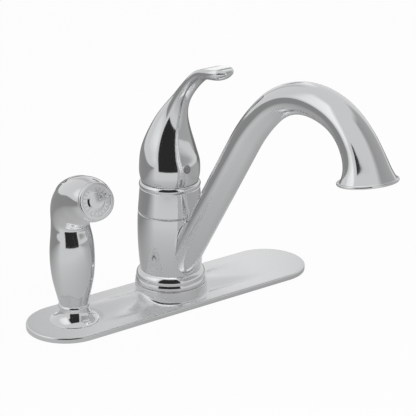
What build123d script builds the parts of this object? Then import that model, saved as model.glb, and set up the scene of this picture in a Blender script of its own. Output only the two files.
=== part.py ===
from build123d import *
import math
import os

os.makedirs("parts", exist_ok=True)

# Millimetres. X runs along the deck plate, -Y points at the user and +Z up.
# The origin is on the hub's axis, at the height of the deck.

# ---- clearances ----
run_fit = 0.05
slide_fit = 0.1
loose_fit = 0.4
soft_gap = 0.3

# ---- deck ----
hole_pitch = 101.6
deck_thickness = 12.0

# ---- deck plate and its gasket ----
plate_length = 288.0
plate_width = 73.0
plate_wall = 2.0
rim_height = 4.8
rim_round = 1.5
rise_length = 205.4
rise_width = 50.8
ridge_length = 41.6
ridge_width = 1.0
ridge_height = 11.7
seat_radius = 31.9
seat_height = 16.4
seat_wall = 3.4
seat_round = 0.7
seat_foot_round = 2.0
ledge_height = 8.0
boss_radius = 24.0
rise_inset = 6.0
gasket_thickness = 2.0

# ---- valve body ----
shank_radius = 15.0
shank_length = 48.0
pilot_step = 0.4
shank_pilot = 20.0
flange_thickness = 3.5
barrel_radius = 20.5
cup_sink = 6.4
cup_radius = 17.5
chamber_low = 38.0
chamber_high = 64.0
chamber_depth = 2.0
groove_width = 3.0
groove_depth = 1.6
lower_seal_height = 25.0
upper_seal_height = 73.0
port_radius = 2.8
port_x = 7.3
port_y = -2.8
mix_port_y = 5.5
diverter_radius = 3.7
diverter_length = 13.0
diverter_gap = 0.5

# ---- fittings below the shank ----
fitting_hex = 8.8
fitting_hex_height = 5.0
fitting_spigot = 6.0
nipple_radius = 3.9
nipple_bore = 2.0
nipple_length = 14.0

# ---- nuts and washers under the deck ----
washer_thickness = 2.0
shank_washer_radius = 27.0
shank_nut_flats = 44.0
shank_nut_height = 10.0
holder_washer_radius = 22.0
holder_nut_flats = 36.0
holder_nut_height = 8.0
nut_edge = 1.0

# ---- spout hub ----
glide_thickness = 0.6
glide_upper = 1.2
glide_lip = 0.8
hub_foot_radius = 31.5
hub_foot_band = 2.6
hub_bead_radius = 30.6
hub_bead_low = 21.4
hub_bead_tuck = 0.9
hub_bead_lift = 1.4
hub_neck_radius = 27.0
hub_neck_height = 28.6
hub_belly_radius = 28.9
hub_belly_height = 62.0
hub_belly_drop = 10.0
hub_belly_tuck = 0.2
hub_top_radius = 28.3
hub_top = 82.4
hub_chamber_radius = 24.0

# ---- spout tube: a straight rise, three bends, then the bell ----
spout_start_y = -10.0
spout_start_z = 27.9
spout_rise = 56.1
spout_straight = 172.0
bend_radii = [180.0, 83.0, 55.3]
bend_angles = [15.3, 56.2, 64.8]
tube_root_radius = 13.3
bend_tube_radii = [12.9, 12.5, 12.5, 13.4, 14.5]
bell_radii = [14.5, 14.85, 15.2, 15.7, 16.35, 17.2, 18.3, 19.9, 22.1]
bell_step = 4.0
lip_radius = 1.3
waterway_radius = 8.0
hub_blend = 3.4

# ---- aerator ----
aerator_radius = 12.0
aerator_depth = 5.0
aerator_length = 9.0
aerator_wall = 1.4
aerator_lip = 0.8
screen_thickness = 1.6
screen_hole = 2.0
screen_pitch = 2.9
screen_rows = 5
aerator_washer_thickness = 1.5
bell_mouth = 20.2
bell_throat = 14.0
bell_throat_depth = 6.0

# ---- cartridge ----
cartridge_radius = 17.4
seal_thickness = 1.2
base_thickness = 6.0
disc_thickness = 3.0
fixed_disc_radius = 15.4
moving_disc_radius = 12.3
disc_pocket_radius = 11.2
disc_pocket_edge = -2.4
disc_pocket_depth = 1.6
driver_radius = 11.0
driver_thickness = 2.6
driver_post_radius = 4.2
socket_rise = 1.87
carrier_flange = 2.4
shoulder_wall = 2.4
barrel_rebate = 2.0
neck_radius = 13.0
neck_drop = 6.0
carrier_radius = 11.0

# ---- lever mechanism ----
bulb_lift = 10.0
lift_range = 25.0
drive_arm = 14.0
ball_radius = 2.5
arm_radius = 1.8
socket_depth = 6.2
pin_radius = 2.0
ear_radius = 4.5
ear_outer = 8.4
ear_drop = 7.0
slot_gap = 1.0
stem_half_width = 3.5
post_size = 6.6
post_rise = 20.0

# ---- retaining nut and collar ----
nut_wall = 3.1
nut_lip = 2.3
collar_gap = 0.7
collar_bottom_radius = 28.2
collar_top_radius = 26.4
collar_rise = 5.8
ring_band = 5.4
ring_radius = 26.95
ring_groove = 0.4
ring_top_radius = 25.4
ring_opening = 25.0

# ---- handle: bulb, neck and paddle ----
bulb_radius = 26.6
bulb_wall = 2.6
bulb_front_angle = 47.0
bulb_rear_angle = 24.0
# forward reach, height over the pivot, half width, half thickness and lean of each section
handle_sections = [
    (0.0, 0.0, 26.6, 26.6, 0.0),
    (0.0, 8.0, 26.3, 26.2, 0.0),
    (0.0, 16.0, 24.6, 24.5, 2.0),
    (0.5, 25.0, 21.2, 21.3, 6.0),
    (2.0, 34.5, 17.0, 17.6, 13.0),
    (5.0, 44.5, 13.2, 14.2, 22.0),
    (10.5, 55.5, 10.0, 10.7, 32.0),
    (18.6, 68.0, 8.5, 7.4, 38.0),
    (30.0, 80.4, 8.8, 5.6, 45.0),
    (43.0, 91.4, 10.2, 4.7, 56.0),
    (56.5, 97.8, 11.6, 4.4, 69.0),
    (70.0, 101.4, 12.2, 4.3, 75.0),
    (80.0, 104.0, 11.2, 4.0, 75.0),
    (85.5, 105.5, 8.2, 3.0, 75.0),
    (88.0, 106.1, 5.0, 1.7, 75.0),
]
# share of the half thickness at which the paddle's level top cuts the last sections
paddle_levels = [0.85, 0.6, 0.5, 0.5, 0.5, 0.6, 0.8]
paddle_run_out = 6.0
screw_rise = 6.4
set_screw_radius = 2.0
set_screw_length = 8.0
set_screw_key = 2.0
plug_radius = 3.4
plug_length = 3.2
plug_proud = 0.3
boss_rise = 5.0
boss_radius_inside = 8.5
screw_pad = 4.4
screw_pad_reach = 5.2
post_socket_gap = 1.0
boss_crown = 2.0

# ---- spray holder ----
holder_foot_radius = 21.4
holder_foot_edge = 0.8
holder_waist_radius = 12.4
holder_waist_height = 16.6
holder_flare = (15.4, 9.4)
holder_rim_radius = 13.5
holder_top = 20.2
holder_bore = 10.4
holder_tail_radius = 13.6
holder_tail = 34.0
holder_pilot = 11.0

# ---- spray: sections of the housing as forward reach, height, radius and lean ----
spray_heading = 7.0
spray_sections = [
    (0.0, 20.5, 12.6, 0.0),
    (0.0, 31.0, 15.1, 0.0),
    (0.0, 43.0, 17.6, 0.0),
    (0.0, 58.0, 19.0, 0.0),
    (0.0, 72.0, 18.8, 0.0),
    (-0.4, 83.4, 17.5, 1.0),
    (-1.6, 93.5, 16.4, 10.0),
    (2.4, 104.8, 18.3, 31.0),
    (10.5, 114.6, 19.6, 50.0),
    (21.5, 120.4, 19.8, 64.0),
    (32.0, 124.4, 19.0, 72.0),
    (40.4, 126.3, 18.3, 74.0),
    (46.1, 127.3, 17.2, 74.0),
    (49.7, 128.1, 16.0, 72.0),
]
bezel_radius = 15.5
bezel_depth = 2.6
bezel_edge = 1.2
face_radius = 12.4
face_dome = 1.4
jet_ring_radius = 9.6
jet_count = 20
jet_radius = 0.55
jet_depth = 1.0
spray_bore = 8.6
spray_bore_top = 60.0
coupling_radius = 9.4
coupling_low = -8.0
coupling_nipple_radius = 5.0
coupling_nipple_length = 16.0
coupling_water = 3.0
coupling_spigot_top = 34.0

# ---- spray trigger ----
trigger_proud = 0.7
trigger_half_width = 11.0
trigger_low = 88.6
trigger_thickness = 3.6
trigger_press = 4.5
trigger_sink = 9.8
trigger_top_reach = 15.2
trigger_top_height = 119.0
trigger_start = -2.0
zone_reach = 40.0
zone_height = 150.0
trigger_pivot_reach = 12.0
trigger_pivot_height = 132.6
trigger_pin_radius = 1.5
trigger_pin_half = 13.0
trigger_boss_radius = 3.2
plunger_height = 101.0
plunger_radius = 2.5
plunger_start = -12.6
plunger_length = 17.0


# ---- values that follow from the sizes above ----
flange_top = ledge_height + flange_thickness
hub_low = seat_height + glide_thickness
nut_radius = barrel_radius + nut_wall
collar_seat = hub_top + glide_upper
collar_low = hub_top + collar_gap
cup_floor = hub_top - cup_sink
base_low = cup_floor + seal_thickness / 2
disc_fixed_low = base_low + base_thickness
disc_moving_low = disc_fixed_low + disc_thickness
driver_low = disc_moving_low + disc_thickness
carrier_low = driver_low + driver_thickness + loose_fit
carrier_neck_low = carrier_low + carrier_flange
shoulder_height = carrier_neck_low + slide_fit + shoulder_wall
barrel_top = shoulder_height - barrel_rebate
nut_top = shoulder_height + nut_lip
ring_low = nut_top + collar_rise
ring_high = ring_low + ring_band
pivot_height = ring_high + bulb_lift
half_lift = math.radians(lift_range / 2)
ball_y = drive_arm * math.sin(half_lift)
ball_z = pivot_height - drive_arm * math.cos(half_lift)
driver_post_top = ball_z + socket_rise
slot_low = driver_post_top + slot_gap
ear_foot = pivot_height - ear_drop
neck_top = pivot_height - neck_drop
post_top = pivot_height + post_rise
post_socket_top = post_top + post_socket_gap
set_screw_height = pivot_height + screw_rise
boss_low = pivot_height + boss_rise
fitting_low = -shank_length - fitting_hex_height
spray_low = spray_sections[0][1]
face_seat = spray_sections[-1]


def save(piece, name):
    """Label a finished piece and write it as one file."""
    piece.label = name
    export_step(piece, f"parts/{name}.step")


def turned(points):
    """A solid of revolution about the hub's axis from (radius, height) corners."""
    with BuildPart() as body:
        with BuildSketch(Plane.XZ):
            with BuildLine():
                Polyline(*points, close=True)
            make_face()
        revolve(axis=Axis.Z)
    return body.part


def ring(outer, inner, low, high, x=0.0, y=0.0):
    """A plain ring on a vertical axis."""
    with BuildPart() as body:
        with BuildSketch(Plane((x, y, low))):
            Circle(outer)
            Circle(inner, mode=Mode.SUBTRACT)
        extrude(amount=high - low)
    return body.part


def hex_nut(flats, bore, high, height, x=0.0):
    """A hexagonal nut that hangs below the given height."""
    with BuildPart() as body:
        with BuildSketch(Plane((x, 0, high - height))):
            RegularPolygon(flats / 2, 6, major_radius=False)
        extrude(amount=height)
        chamfer(body.faces().sort_by(Axis.Z)[0].edges(), nut_edge)
        with Locations((x, 0, high)):
            Hole(bore)
    return body.part


def on_cylinder(edge, radius):
    """Whether an edge lies on a cylinder about the hub's axis."""
    points = [edge @ place for place in (0, 0.5, 1)]
    return all(abs(math.hypot(point.X, point.Y) - radius) < run_fit for point in points)


def handle_plane(reach, height, lean):
    """The plane of a handle section: lean is measured from level towards the user."""
    angle = math.radians(lean)
    normal = (0, -math.sin(angle), math.cos(angle))
    return Plane((0, -reach, pivot_height + height), x_dir=(1, 0, 0), z_dir=normal)


heading = math.radians(spray_heading)
forward = Vector(-math.sin(heading), -math.cos(heading), 0)
sideways = Vector(math.cos(heading), -math.sin(heading), 0)
spray_origin = Vector(-hole_pitch, 0, 0)
# the spray's middle plane: local x is forward reach and local y is height
spray_middle = Plane(spray_origin, x_dir=forward, z_dir=forward.cross(Vector(0, 0, 1)))


def spray_point(reach, height):
    """A point in the spray's own middle plane."""
    return spray_origin + forward * reach + Vector(0, 0, height)


def spray_plane(reach, height, lean):
    """The plane of a spray section: lean is measured from level towards the nozzle."""
    angle = math.radians(lean)
    normal = forward * math.sin(angle) + Vector(0, 0, math.cos(angle))
    return Plane(spray_point(reach, height), x_dir=sideways, z_dir=normal)


def spray_loft(extra):
    """The spray's outer form, with every radius grown by the same amount."""
    with BuildPart() as body:
        for reach, height, radius, lean in spray_sections:
            with BuildSketch(spray_plane(reach, height, lean)):
                Circle(radius + extra)
        loft()
    return body.part


# ======== deck plate ========
rim_inner = rim_height - plate_wall
with BuildPart() as deck_plate:
    with BuildSketch():
        SlotOverall(plate_length, plate_width)
    extrude(amount=rim_height)
    fillet(deck_plate.faces().sort_by(Axis.Z)[-1].edges(), rim_round)
    with BuildSketch(Plane.XY.offset(rim_inner)):
        Rectangle(rise_length, rise_width)
    with BuildSketch(Plane.XY.offset(ridge_height)):
        Rectangle(ridge_length, ridge_width)
    loft(ruled=True)
    with BuildSketch(Plane.XY.offset(rim_inner)):
        Circle(seat_radius)
    extrude(amount=seat_height - rim_inner)
    # hollow foot and rounded top of the round seat
    foot = [
        edge
        for edge in deck_plate.edges()
        if on_cylinder(edge, seat_radius) and max((edge @ 0).Z, (edge @ 1).Z) < ridge_height
    ]
    fillet(foot, seat_foot_round)
    fillet(deck_plate.faces().sort_by(Axis.Z)[-1].edges(), seat_round)
    # flat seat for the spray holder's foot
    with BuildSketch(Plane(spray_origin + Vector(0, 0, rim_height))):
        Circle(holder_foot_radius + soft_gap)
    extrude(amount=ridge_height, mode=Mode.SUBTRACT)
    # hollow underside
    with BuildSketch():
        SlotOverall(plate_length - 2 * plate_wall, plate_width - 2 * plate_wall)
    extrude(amount=rim_inner, mode=Mode.SUBTRACT)
    with BuildSketch(Plane.XY.offset(rim_inner)):
        Rectangle(rise_length - 2 * rise_inset, rise_width - 2 * rise_inset)
    with BuildSketch(Plane.XY.offset(ridge_height - plate_wall)):
        Rectangle(ridge_length - 2 * plate_wall, ridge_width)
    loft(ruled=True, mode=Mode.SUBTRACT)
    # boss that carries the valve body's flange down to the gasket
    with BuildSketch(Plane.XY.offset(gasket_thickness)):
        Circle(boss_radius)
    extrude(amount=ledge_height - gasket_thickness + plate_wall)
    with BuildSketch(Plane.XY.offset(ledge_height)):
        Circle(seat_radius - seat_wall)
    extrude(amount=seat_height, mode=Mode.SUBTRACT)
    with Locations((0, 0, seat_height)):
        Hole(shank_radius + loose_fit)
    with Locations((-hole_pitch, 0, rim_height)):
        Hole(holder_tail_radius + loose_fit)
save(deck_plate.part, "deck_plate")

with BuildPart() as deck_gasket:
    with BuildSketch():
        SlotOverall(
            plate_length - 2 * plate_wall - 2 * soft_gap,
            plate_width - 2 * plate_wall - 2 * soft_gap,
        )
        Circle(shank_radius + loose_fit, mode=Mode.SUBTRACT)
        with Locations((-hole_pitch, 0)):
            Circle(holder_tail_radius + loose_fit, mode=Mode.SUBTRACT)
    extrude(amount=gasket_thickness)
save(deck_gasket.part, "deck_gasket")

# ======== valve body ========
outlet_height = (chamber_low + chamber_high) / 2
with BuildPart() as valve_body:
    with BuildSketch(Plane.XZ):
        with BuildLine():
            Polyline(
                (0, -shank_length),
                (shank_radius - pilot_step, -shank_length),
                (shank_radius - pilot_step, shank_pilot - shank_length),
                (shank_radius, shank_pilot - shank_length),
                (shank_radius, ledge_height),
                (seat_radius - seat_wall - soft_gap, ledge_height),
                (seat_radius - seat_wall - soft_gap, flange_top),
                (barrel_radius, flange_top),
                (barrel_radius, barrel_top),
                (cup_radius, barrel_top),
                (cup_radius, cup_floor),
                (0, cup_floor),
                close=True,
            )
        make_face()
    revolve(axis=Axis.Z)
    chamfer(valve_body.faces().sort_by(Axis.Z)[0].outer_wire().edges(), nut_edge)
    # seal grooves and the water chamber
    for groove in (lower_seal_height, upper_seal_height):
        with BuildSketch(Plane.XY.offset(groove - groove_width / 2)):
            Circle(barrel_radius + 1)
            Circle(barrel_radius - groove_depth, mode=Mode.SUBTRACT)
        extrude(amount=groove_width, mode=Mode.SUBTRACT)
    with BuildSketch(Plane.XY.offset(chamber_low)):
        Circle(barrel_radius + 1)
        Circle(barrel_radius - chamber_depth, mode=Mode.SUBTRACT)
    extrude(amount=chamber_high - chamber_low, mode=Mode.SUBTRACT)
    # hot, cold and mixed water, and the diverter's bore
    with BuildSketch(Plane.XY.offset(cup_floor)):
        with Locations((-port_x, port_y), (port_x, port_y), (0, mix_port_y)):
            Circle(port_radius)
    extrude(amount=-(cup_floor + shank_length), mode=Mode.SUBTRACT)
    with BuildSketch(Plane((0, -barrel_radius - 1, outlet_height), x_dir=(1, 0, 0), z_dir=(0, 1, 0))):
        Circle(diverter_radius)
    extrude(amount=barrel_radius + 1 + mix_port_y, mode=Mode.SUBTRACT)
save(valve_body.part, "valve_body")

with BuildPart() as diverter:
    stem_start = barrel_radius - chamber_depth - diverter_gap
    with BuildSketch(Plane((0, -stem_start, outlet_height), x_dir=(1, 0, 0), z_dir=(0, 1, 0))):
        Circle(diverter_radius - run_fit)
    extrude(amount=diverter_length)
    # waist between the two sealing lands, and the inlet at the front
    waist_start = stem_start - diverter_length / 3
    with BuildSketch(Plane((0, -waist_start, outlet_height), x_dir=(1, 0, 0), z_dir=(0, 1, 0))):
        Circle(diverter_radius + 1)
        Circle(diverter_radius * 0.6, mode=Mode.SUBTRACT)
    extrude(amount=diverter_length / 3, mode=Mode.SUBTRACT)
    with BuildSketch(Plane((0, -stem_start, outlet_height), x_dir=(1, 0, 0), z_dir=(0, 1, 0))):
        Circle(diverter_radius * 0.35)
    extrude(amount=diverter_length, mode=Mode.SUBTRACT)
save(diverter.part, "diverter")


# ======== fittings under the shank ========
def fitting(x, y):
    """A hexagon with a spigot into the shank and a nipple for the supply."""
    with BuildPart() as body:
        with BuildSketch(Plane((x, y, fitting_low))):
            RegularPolygon(fitting_hex / 2, 6, major_radius=False)
        extrude(amount=fitting_hex_height)
        with BuildSketch(Plane((x, y, -shank_length))):
            Circle(port_radius - run_fit)
        extrude(amount=fitting_spigot)
        with BuildSketch(Plane((x, y, fitting_low))):
            Circle(nipple_radius)
        extrude(amount=-nipple_length)
        chamfer(body.faces().sort_by(Axis.Z)[0].edges(), 0.6)
        with BuildSketch(Plane((x, y, fitting_low - nipple_length))):
            Circle(nipple_bore)
        extrude(amount=nipple_length + fitting_hex_height - 1, mode=Mode.SUBTRACT)
        with BuildSketch(Plane((x, y, fitting_low))):
            Circle(port_radius - 1.0)
        extrude(amount=fitting_hex_height + fitting_spigot, mode=Mode.SUBTRACT)
    return body.part


save(fitting(-port_x, port_y), "inlet_hot")
save(fitting(port_x, port_y), "inlet_cold")
save(fitting(0, mix_port_y), "spray_outlet")

# ======== clamping hardware under the deck ========
washer_low = -deck_thickness - washer_thickness
save(ring(shank_washer_radius, shank_radius + run_fit, washer_low, -deck_thickness), "shank_washer")
save(hex_nut(shank_nut_flats, shank_radius + run_fit, washer_low, shank_nut_height), "shank_nut")
save(
    ring(holder_washer_radius, holder_tail_radius + run_fit, washer_low, -deck_thickness, -hole_pitch),
    "holder_washer",
)
save(
    hex_nut(holder_nut_flats, holder_tail_radius + run_fit, washer_low, holder_nut_height, -hole_pitch),
    "holder_nut",
)

# ======== rings that the spout turns on, and its seals ========
save(
    turned(
        [
            (barrel_radius + run_fit, flange_top),
            (seat_radius - seat_wall - soft_gap, flange_top),
            (seat_radius - seat_wall - soft_gap, seat_height),
            (hub_foot_radius - glide_lip, seat_height),
            (hub_foot_radius - glide_lip, hub_low),
            (barrel_radius + run_fit, hub_low),
        ]
    ),
    "glide_ring_lower",
)
save(ring(nut_radius, barrel_radius + run_fit, hub_top, collar_seat), "glide_ring_upper")

with BuildPart() as spout_orings:
    for groove in (lower_seal_height, upper_seal_height):
        with BuildSketch(Plane.XY.offset(groove - groove_width / 2 + 0.3)):
            Circle(barrel_radius)
            Circle(barrel_radius - groove_depth, mode=Mode.SUBTRACT)
        extrude(amount=groove_width - 0.6)
save(spout_orings.part, "spout_orings")

# ======== spout ========
bend_length = math.radians(1) * sum(r * a for r, a in zip(bend_radii, bend_angles))
path_length = spout_straight + bend_length
bell_length = bell_step * (len(bell_radii) - 1)
with BuildLine(Plane.YZ) as spout_path:
    rise = math.radians(spout_rise)
    way = Line(
        (spout_start_y, spout_start_z),
        (
            spout_start_y - spout_straight * math.cos(rise),
            spout_start_z + spout_straight * math.sin(rise),
        ),
    )
    for bend_radius, bend_angle in zip(bend_radii, bend_angles):
        way = JernArc(way @ 1, way % 1, bend_radius, bend_angle)
path_wire = spout_path.wires()[0]
bell_centre = path_wire @ 1
bell_axis = path_wire % 1


def station(distance):
    """The plane across the spout at a distance back from the bell's rim."""
    place = 1 - distance / path_length
    return Plane(path_wire @ place, x_dir=(1, 0, 0), z_dir=path_wire % place)


def across_bell(depth):
    """The plane across the bell, on its own straight axis, looking out of it."""
    return Plane(bell_centre - bell_axis * depth, x_dir=(1, 0, 0), z_dir=bell_axis)


hub_bore = barrel_radius + run_fit
tube_count = len(bend_tube_radii) - 1
tube_span = bend_length - bell_length
with BuildPart() as spout:
    # straight rise
    with BuildSketch(station(path_length)):
        Circle(tube_root_radius)
    with BuildSketch(station(bend_length)):
        Circle(bend_tube_radii[0])
    loft(ruled=True)
    # bends, with three sections between every two named radii
    for step in range(4 * tube_count + 1):
        whole, part_way = divmod(step / 4, 1)
        low = bend_tube_radii[int(whole)]
        high = bend_tube_radii[min(int(whole) + 1, tube_count)]
        with BuildSketch(station(bend_length - tube_span * step / 4 / tube_count)):
            Circle(low + (high - low) * part_way)
    loft()
    # bell
    for step, radius in enumerate(bell_radii):
        with BuildSketch(station(bell_length - step * bell_step)):
            Circle(radius)
    loft()
    # hub
    with BuildSketch(Plane.XZ):
        with BuildLine():
            band = Polyline(
                (0, hub_low),
                (hub_foot_radius, hub_low),
                (hub_foot_radius, hub_low + hub_foot_band),
                (hub_bead_radius, hub_bead_low),
            )
            bead = ThreePointArc(
                band @ 1,
                (hub_bead_radius - hub_bead_tuck, (hub_bead_low + hub_neck_height) / 2 + hub_bead_lift),
                (hub_neck_radius, hub_neck_height),
            )
            belly = ThreePointArc(
                bead @ 1,
                (hub_belly_radius - hub_belly_tuck, hub_belly_height - hub_belly_drop),
                (hub_top_radius, hub_top),
            )
            Polyline(belly @ 1, (0, hub_top), (0, hub_low))
        make_face()
    revolve(axis=Axis.Z)
    # rolled lip of the bell
    lip_plane = Plane(bell_centre, x_dir=(1, 0, 0), z_dir=bell_axis.cross(Vector(1, 0, 0)))
    with BuildSketch(lip_plane):
        with Locations((bell_radii[-1] / 2, 0)):
            SlotOverall(bell_radii[-1] + 2 * lip_radius, 2 * lip_radius)
        with Locations((-bell_radii[-1], 0)):
            Rectangle(2 * bell_radii[-1], 4 * lip_radius, mode=Mode.SUBTRACT)
    revolve(axis=Axis(bell_centre, bell_axis))
    # blend where the tube leaves the hub
    joins = [
        edge
        for edge in spout.edges().filter_by(GeomType.BSPLINE)
        if edge.center().Y > -hub_foot_radius and edge.bounding_box().size.Z > hub_top / 3
    ]
    fillet(joins, hub_blend)
    # bearing bore, water chamber and waterway
    with BuildSketch(Plane.XY.offset(hub_low)):
        Circle(hub_bore)
    extrude(amount=hub_top - hub_low, mode=Mode.SUBTRACT)
    with BuildSketch(Plane.XY.offset(chamber_low)):
        Circle(hub_chamber_radius)
    extrude(amount=chamber_high - chamber_low, mode=Mode.SUBTRACT)
    with BuildSketch(station(path_length)):
        Circle(waterway_radius)
    sweep(path=path_wire, mode=Mode.SUBTRACT)
    # mouth and the aerator's recess
    with BuildSketch(across_bell(-2 * lip_radius)):
        Circle(bell_mouth + lip_radius)
    with BuildSketch(across_bell(bell_throat_depth)):
        Circle(bell_throat)
    loft(ruled=True, mode=Mode.SUBTRACT)
    with BuildSketch(across_bell(0)):
        Circle(aerator_radius + run_fit)
    extrude(amount=-aerator_depth - aerator_length - aerator_washer_thickness, mode=Mode.SUBTRACT)
save(spout.part, "spout")

# ======== aerator ========
with BuildPart() as aerator_housing:
    with BuildSketch(across_bell(aerator_depth)):
        Circle(aerator_radius)
    extrude(amount=-aerator_length)
    with BuildSketch(across_bell(aerator_depth + aerator_lip)):
        Circle(aerator_radius - aerator_wall)
    extrude(amount=-aerator_length, mode=Mode.SUBTRACT)
    with BuildSketch(across_bell(aerator_depth)):
        Circle(aerator_radius - aerator_wall - aerator_lip)
    extrude(amount=-aerator_length, mode=Mode.SUBTRACT)
save(aerator_housing.part, "aerator_housing")

with BuildPart() as aerator_screen:
    with BuildSketch(across_bell(aerator_depth + aerator_lip)):
        Circle(aerator_radius - aerator_wall - run_fit)
        with GridLocations(screen_pitch, screen_pitch, screen_rows, screen_rows):
            Rectangle(screen_hole, screen_hole, mode=Mode.SUBTRACT)
    extrude(amount=-screen_thickness)
save(aerator_screen.part, "aerator_screen")

with BuildPart() as aerator_washer:
    with BuildSketch(across_bell(aerator_depth + aerator_length)):
        Circle(aerator_radius)
        Circle(waterway_radius + aerator_lip, mode=Mode.SUBTRACT)
    extrude(amount=-aerator_washer_thickness)
save(aerator_washer.part, "aerator_washer")

# ======== cartridge ========
ports = [(-port_x, port_y), (port_x, port_y), (0, mix_port_y)]
with BuildPart() as cartridge_seals:
    with BuildSketch(Plane.XY.offset(cup_floor)):
        with Locations(*ports):
            Circle(port_radius + seal_thickness)
        with Locations(*ports):
            Circle(port_radius, mode=Mode.SUBTRACT)
    extrude(amount=seal_thickness)
save(cartridge_seals.part, "cartridge_seals")

with BuildPart() as cartridge_base:
    with BuildSketch(Plane.XY.offset(base_low)):
        Circle(cartridge_radius)
    extrude(amount=base_thickness)
    with BuildSketch(Plane.XY.offset(base_low)):
        with Locations(*ports):
            Circle(port_radius + seal_thickness)
    extrude(amount=cup_floor + seal_thickness - base_low, mode=Mode.SUBTRACT)
    with BuildSketch(Plane.XY.offset(base_low)):
        with Locations(*ports):
            Circle(port_radius)
    extrude(amount=base_thickness, mode=Mode.SUBTRACT)
save(cartridge_base.part, "cartridge_base")

with BuildPart() as disc_fixed:
    with BuildSketch(Plane.XY.offset(disc_fixed_low)):
        Circle(fixed_disc_radius)
        with Locations(*ports):
            Circle(port_radius, mode=Mode.SUBTRACT)
    extrude(amount=disc_thickness)
save(disc_fixed.part, "disc_fixed")

with BuildPart() as disc_moving:
    with BuildSketch(Plane((0, ball_y, disc_moving_low))):
        Circle(moving_disc_radius)
    extrude(amount=disc_thickness)
    # channel that joins the ports when the handle is lifted
    with BuildSketch(Plane((0, ball_y, disc_moving_low))):
        Circle(disc_pocket_radius)
        with Locations((0, disc_pocket_edge - disc_pocket_radius)):
            Rectangle(3 * disc_pocket_radius, 2 * disc_pocket_radius, mode=Mode.SUBTRACT)
    extrude(amount=disc_pocket_depth, mode=Mode.SUBTRACT)
save(disc_moving.part, "disc_moving")

with BuildPart() as disc_driver:
    with BuildSketch(Plane((0, ball_y, driver_low))):
        Circle(driver_radius)
    extrude(amount=driver_thickness)
    with BuildSketch(Plane((0, ball_y, driver_low))):
        Circle(driver_post_radius)
    extrude(amount=driver_post_top - driver_low)
    with BuildSketch(Plane((0, ball_y, driver_post_top))):
        Circle(ball_radius + slide_fit)
    extrude(amount=-socket_depth, mode=Mode.SUBTRACT)
save(disc_driver.part, "disc_driver")

slot_length = 2 * (ball_y + driver_post_radius + soft_gap)
with BuildPart() as lever_carrier:
    with BuildSketch(Plane.XY.offset(carrier_low)):
        Circle(fixed_disc_radius)
    extrude(amount=carrier_flange)
    with BuildSketch(Plane.XY.offset(carrier_neck_low)):
        Circle(carrier_radius)
    extrude(amount=ear_foot - carrier_neck_low)
    with BuildSketch(Plane.YZ):
        with Locations((0, pivot_height)):
            Circle(ear_radius)
        with Locations((0, (ear_foot + pivot_height) / 2 - 0.5)):
            Rectangle(2 * ear_radius, pivot_height - ear_foot + 1)
    extrude(amount=ear_outer, both=True)
    # pocket for the driver's post, slot for the lever and bore for the pin
    with BuildSketch(Plane.XY.offset(carrier_low)):
        Rectangle(2 * (driver_post_radius + slide_fit), slot_length)
    extrude(amount=slot_low - carrier_low, mode=Mode.SUBTRACT)
    with BuildSketch(Plane.XY.offset(slot_low)):
        Rectangle(2 * (stem_half_width + slide_fit), slot_length)
    extrude(amount=pivot_height + ear_radius - slot_low, mode=Mode.SUBTRACT)
    with BuildSketch(Plane.YZ):
        with Locations((0, pivot_height)):
            Circle(pin_radius)
    extrude(amount=ear_outer, both=True, mode=Mode.SUBTRACT)
save(lever_carrier.part, "lever_carrier")

with BuildPart() as lever_pin:
    with BuildSketch(Plane.YZ):
        with Locations((0, pivot_height)):
            Circle(pin_radius)
    extrude(amount=ear_outer, both=True)
save(lever_pin.part, "lever_pin")

save(
    turned(
        [
            (fixed_disc_radius + 0.2, disc_fixed_low),
            (cartridge_radius, disc_fixed_low),
            (cartridge_radius, shoulder_height),
            (neck_radius, shoulder_height),
            (neck_radius, neck_top),
            (carrier_radius + run_fit, neck_top),
            (carrier_radius + run_fit, carrier_neck_low + slide_fit),
            (fixed_disc_radius + 0.2, carrier_neck_low + slide_fit),
        ]
    ),
    "cartridge_housing",
)

ball_centre = Vector(0, ball_y, ball_z)
with BuildPart() as stem_lever:
    with BuildSketch(Plane.YZ):
        with Locations((0, pivot_height)):
            Circle(ear_radius - slide_fit)
    extrude(amount=stem_half_width, both=True)
    with BuildSketch(Plane.XY.offset(pivot_height)):
        Rectangle(post_size, post_size)
    extrude(amount=post_top - pivot_height)
    with BuildSketch(Plane(ball_centre, z_dir=Vector(0, 0, pivot_height) - ball_centre)):
        Circle(arm_radius)
    extrude(amount=drive_arm - pin_radius)
    with Locations(ball_centre):
        Sphere(ball_radius)
    with BuildSketch(Plane.YZ):
        with Locations((0, pivot_height)):
            Circle(pin_radius + run_fit)
    extrude(amount=stem_half_width, both=True, mode=Mode.SUBTRACT)
save(stem_lever.part, "stem_lever")

# ======== retaining nut and collar ========
save(
    turned(
        [
            (barrel_radius + run_fit, collar_seat),
            (nut_radius, collar_seat),
            (nut_radius, nut_top),
            (neck_radius + soft_gap, nut_top),
            (neck_radius + soft_gap, shoulder_height),
            (barrel_radius + run_fit, shoulder_height),
        ]
    ),
    "retaining_nut",
)

with BuildPart() as collar:
    with BuildSketch(Plane.XZ):
        with BuildLine():
            wall = Polyline(
                (nut_radius + run_fit, nut_top),
                (nut_radius + run_fit, collar_low),
                (collar_bottom_radius, collar_low),
                (collar_top_radius, ring_low - ring_groove),
                (collar_top_radius - ring_groove, ring_low),
            )
            rolled = ThreePointArc(
                wall @ 1,
                (ring_radius, ring_low + (ring_high - ring_low) * 0.42),
                (ring_top_radius, ring_high),
            )
            Polyline(
                rolled @ 1,
                (ring_opening, ring_high),
                (ring_opening, nut_top),
                (nut_radius + run_fit, nut_top),
            )
        make_face()
    revolve(axis=Axis.Z)
save(collar.part, "collar")

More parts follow.
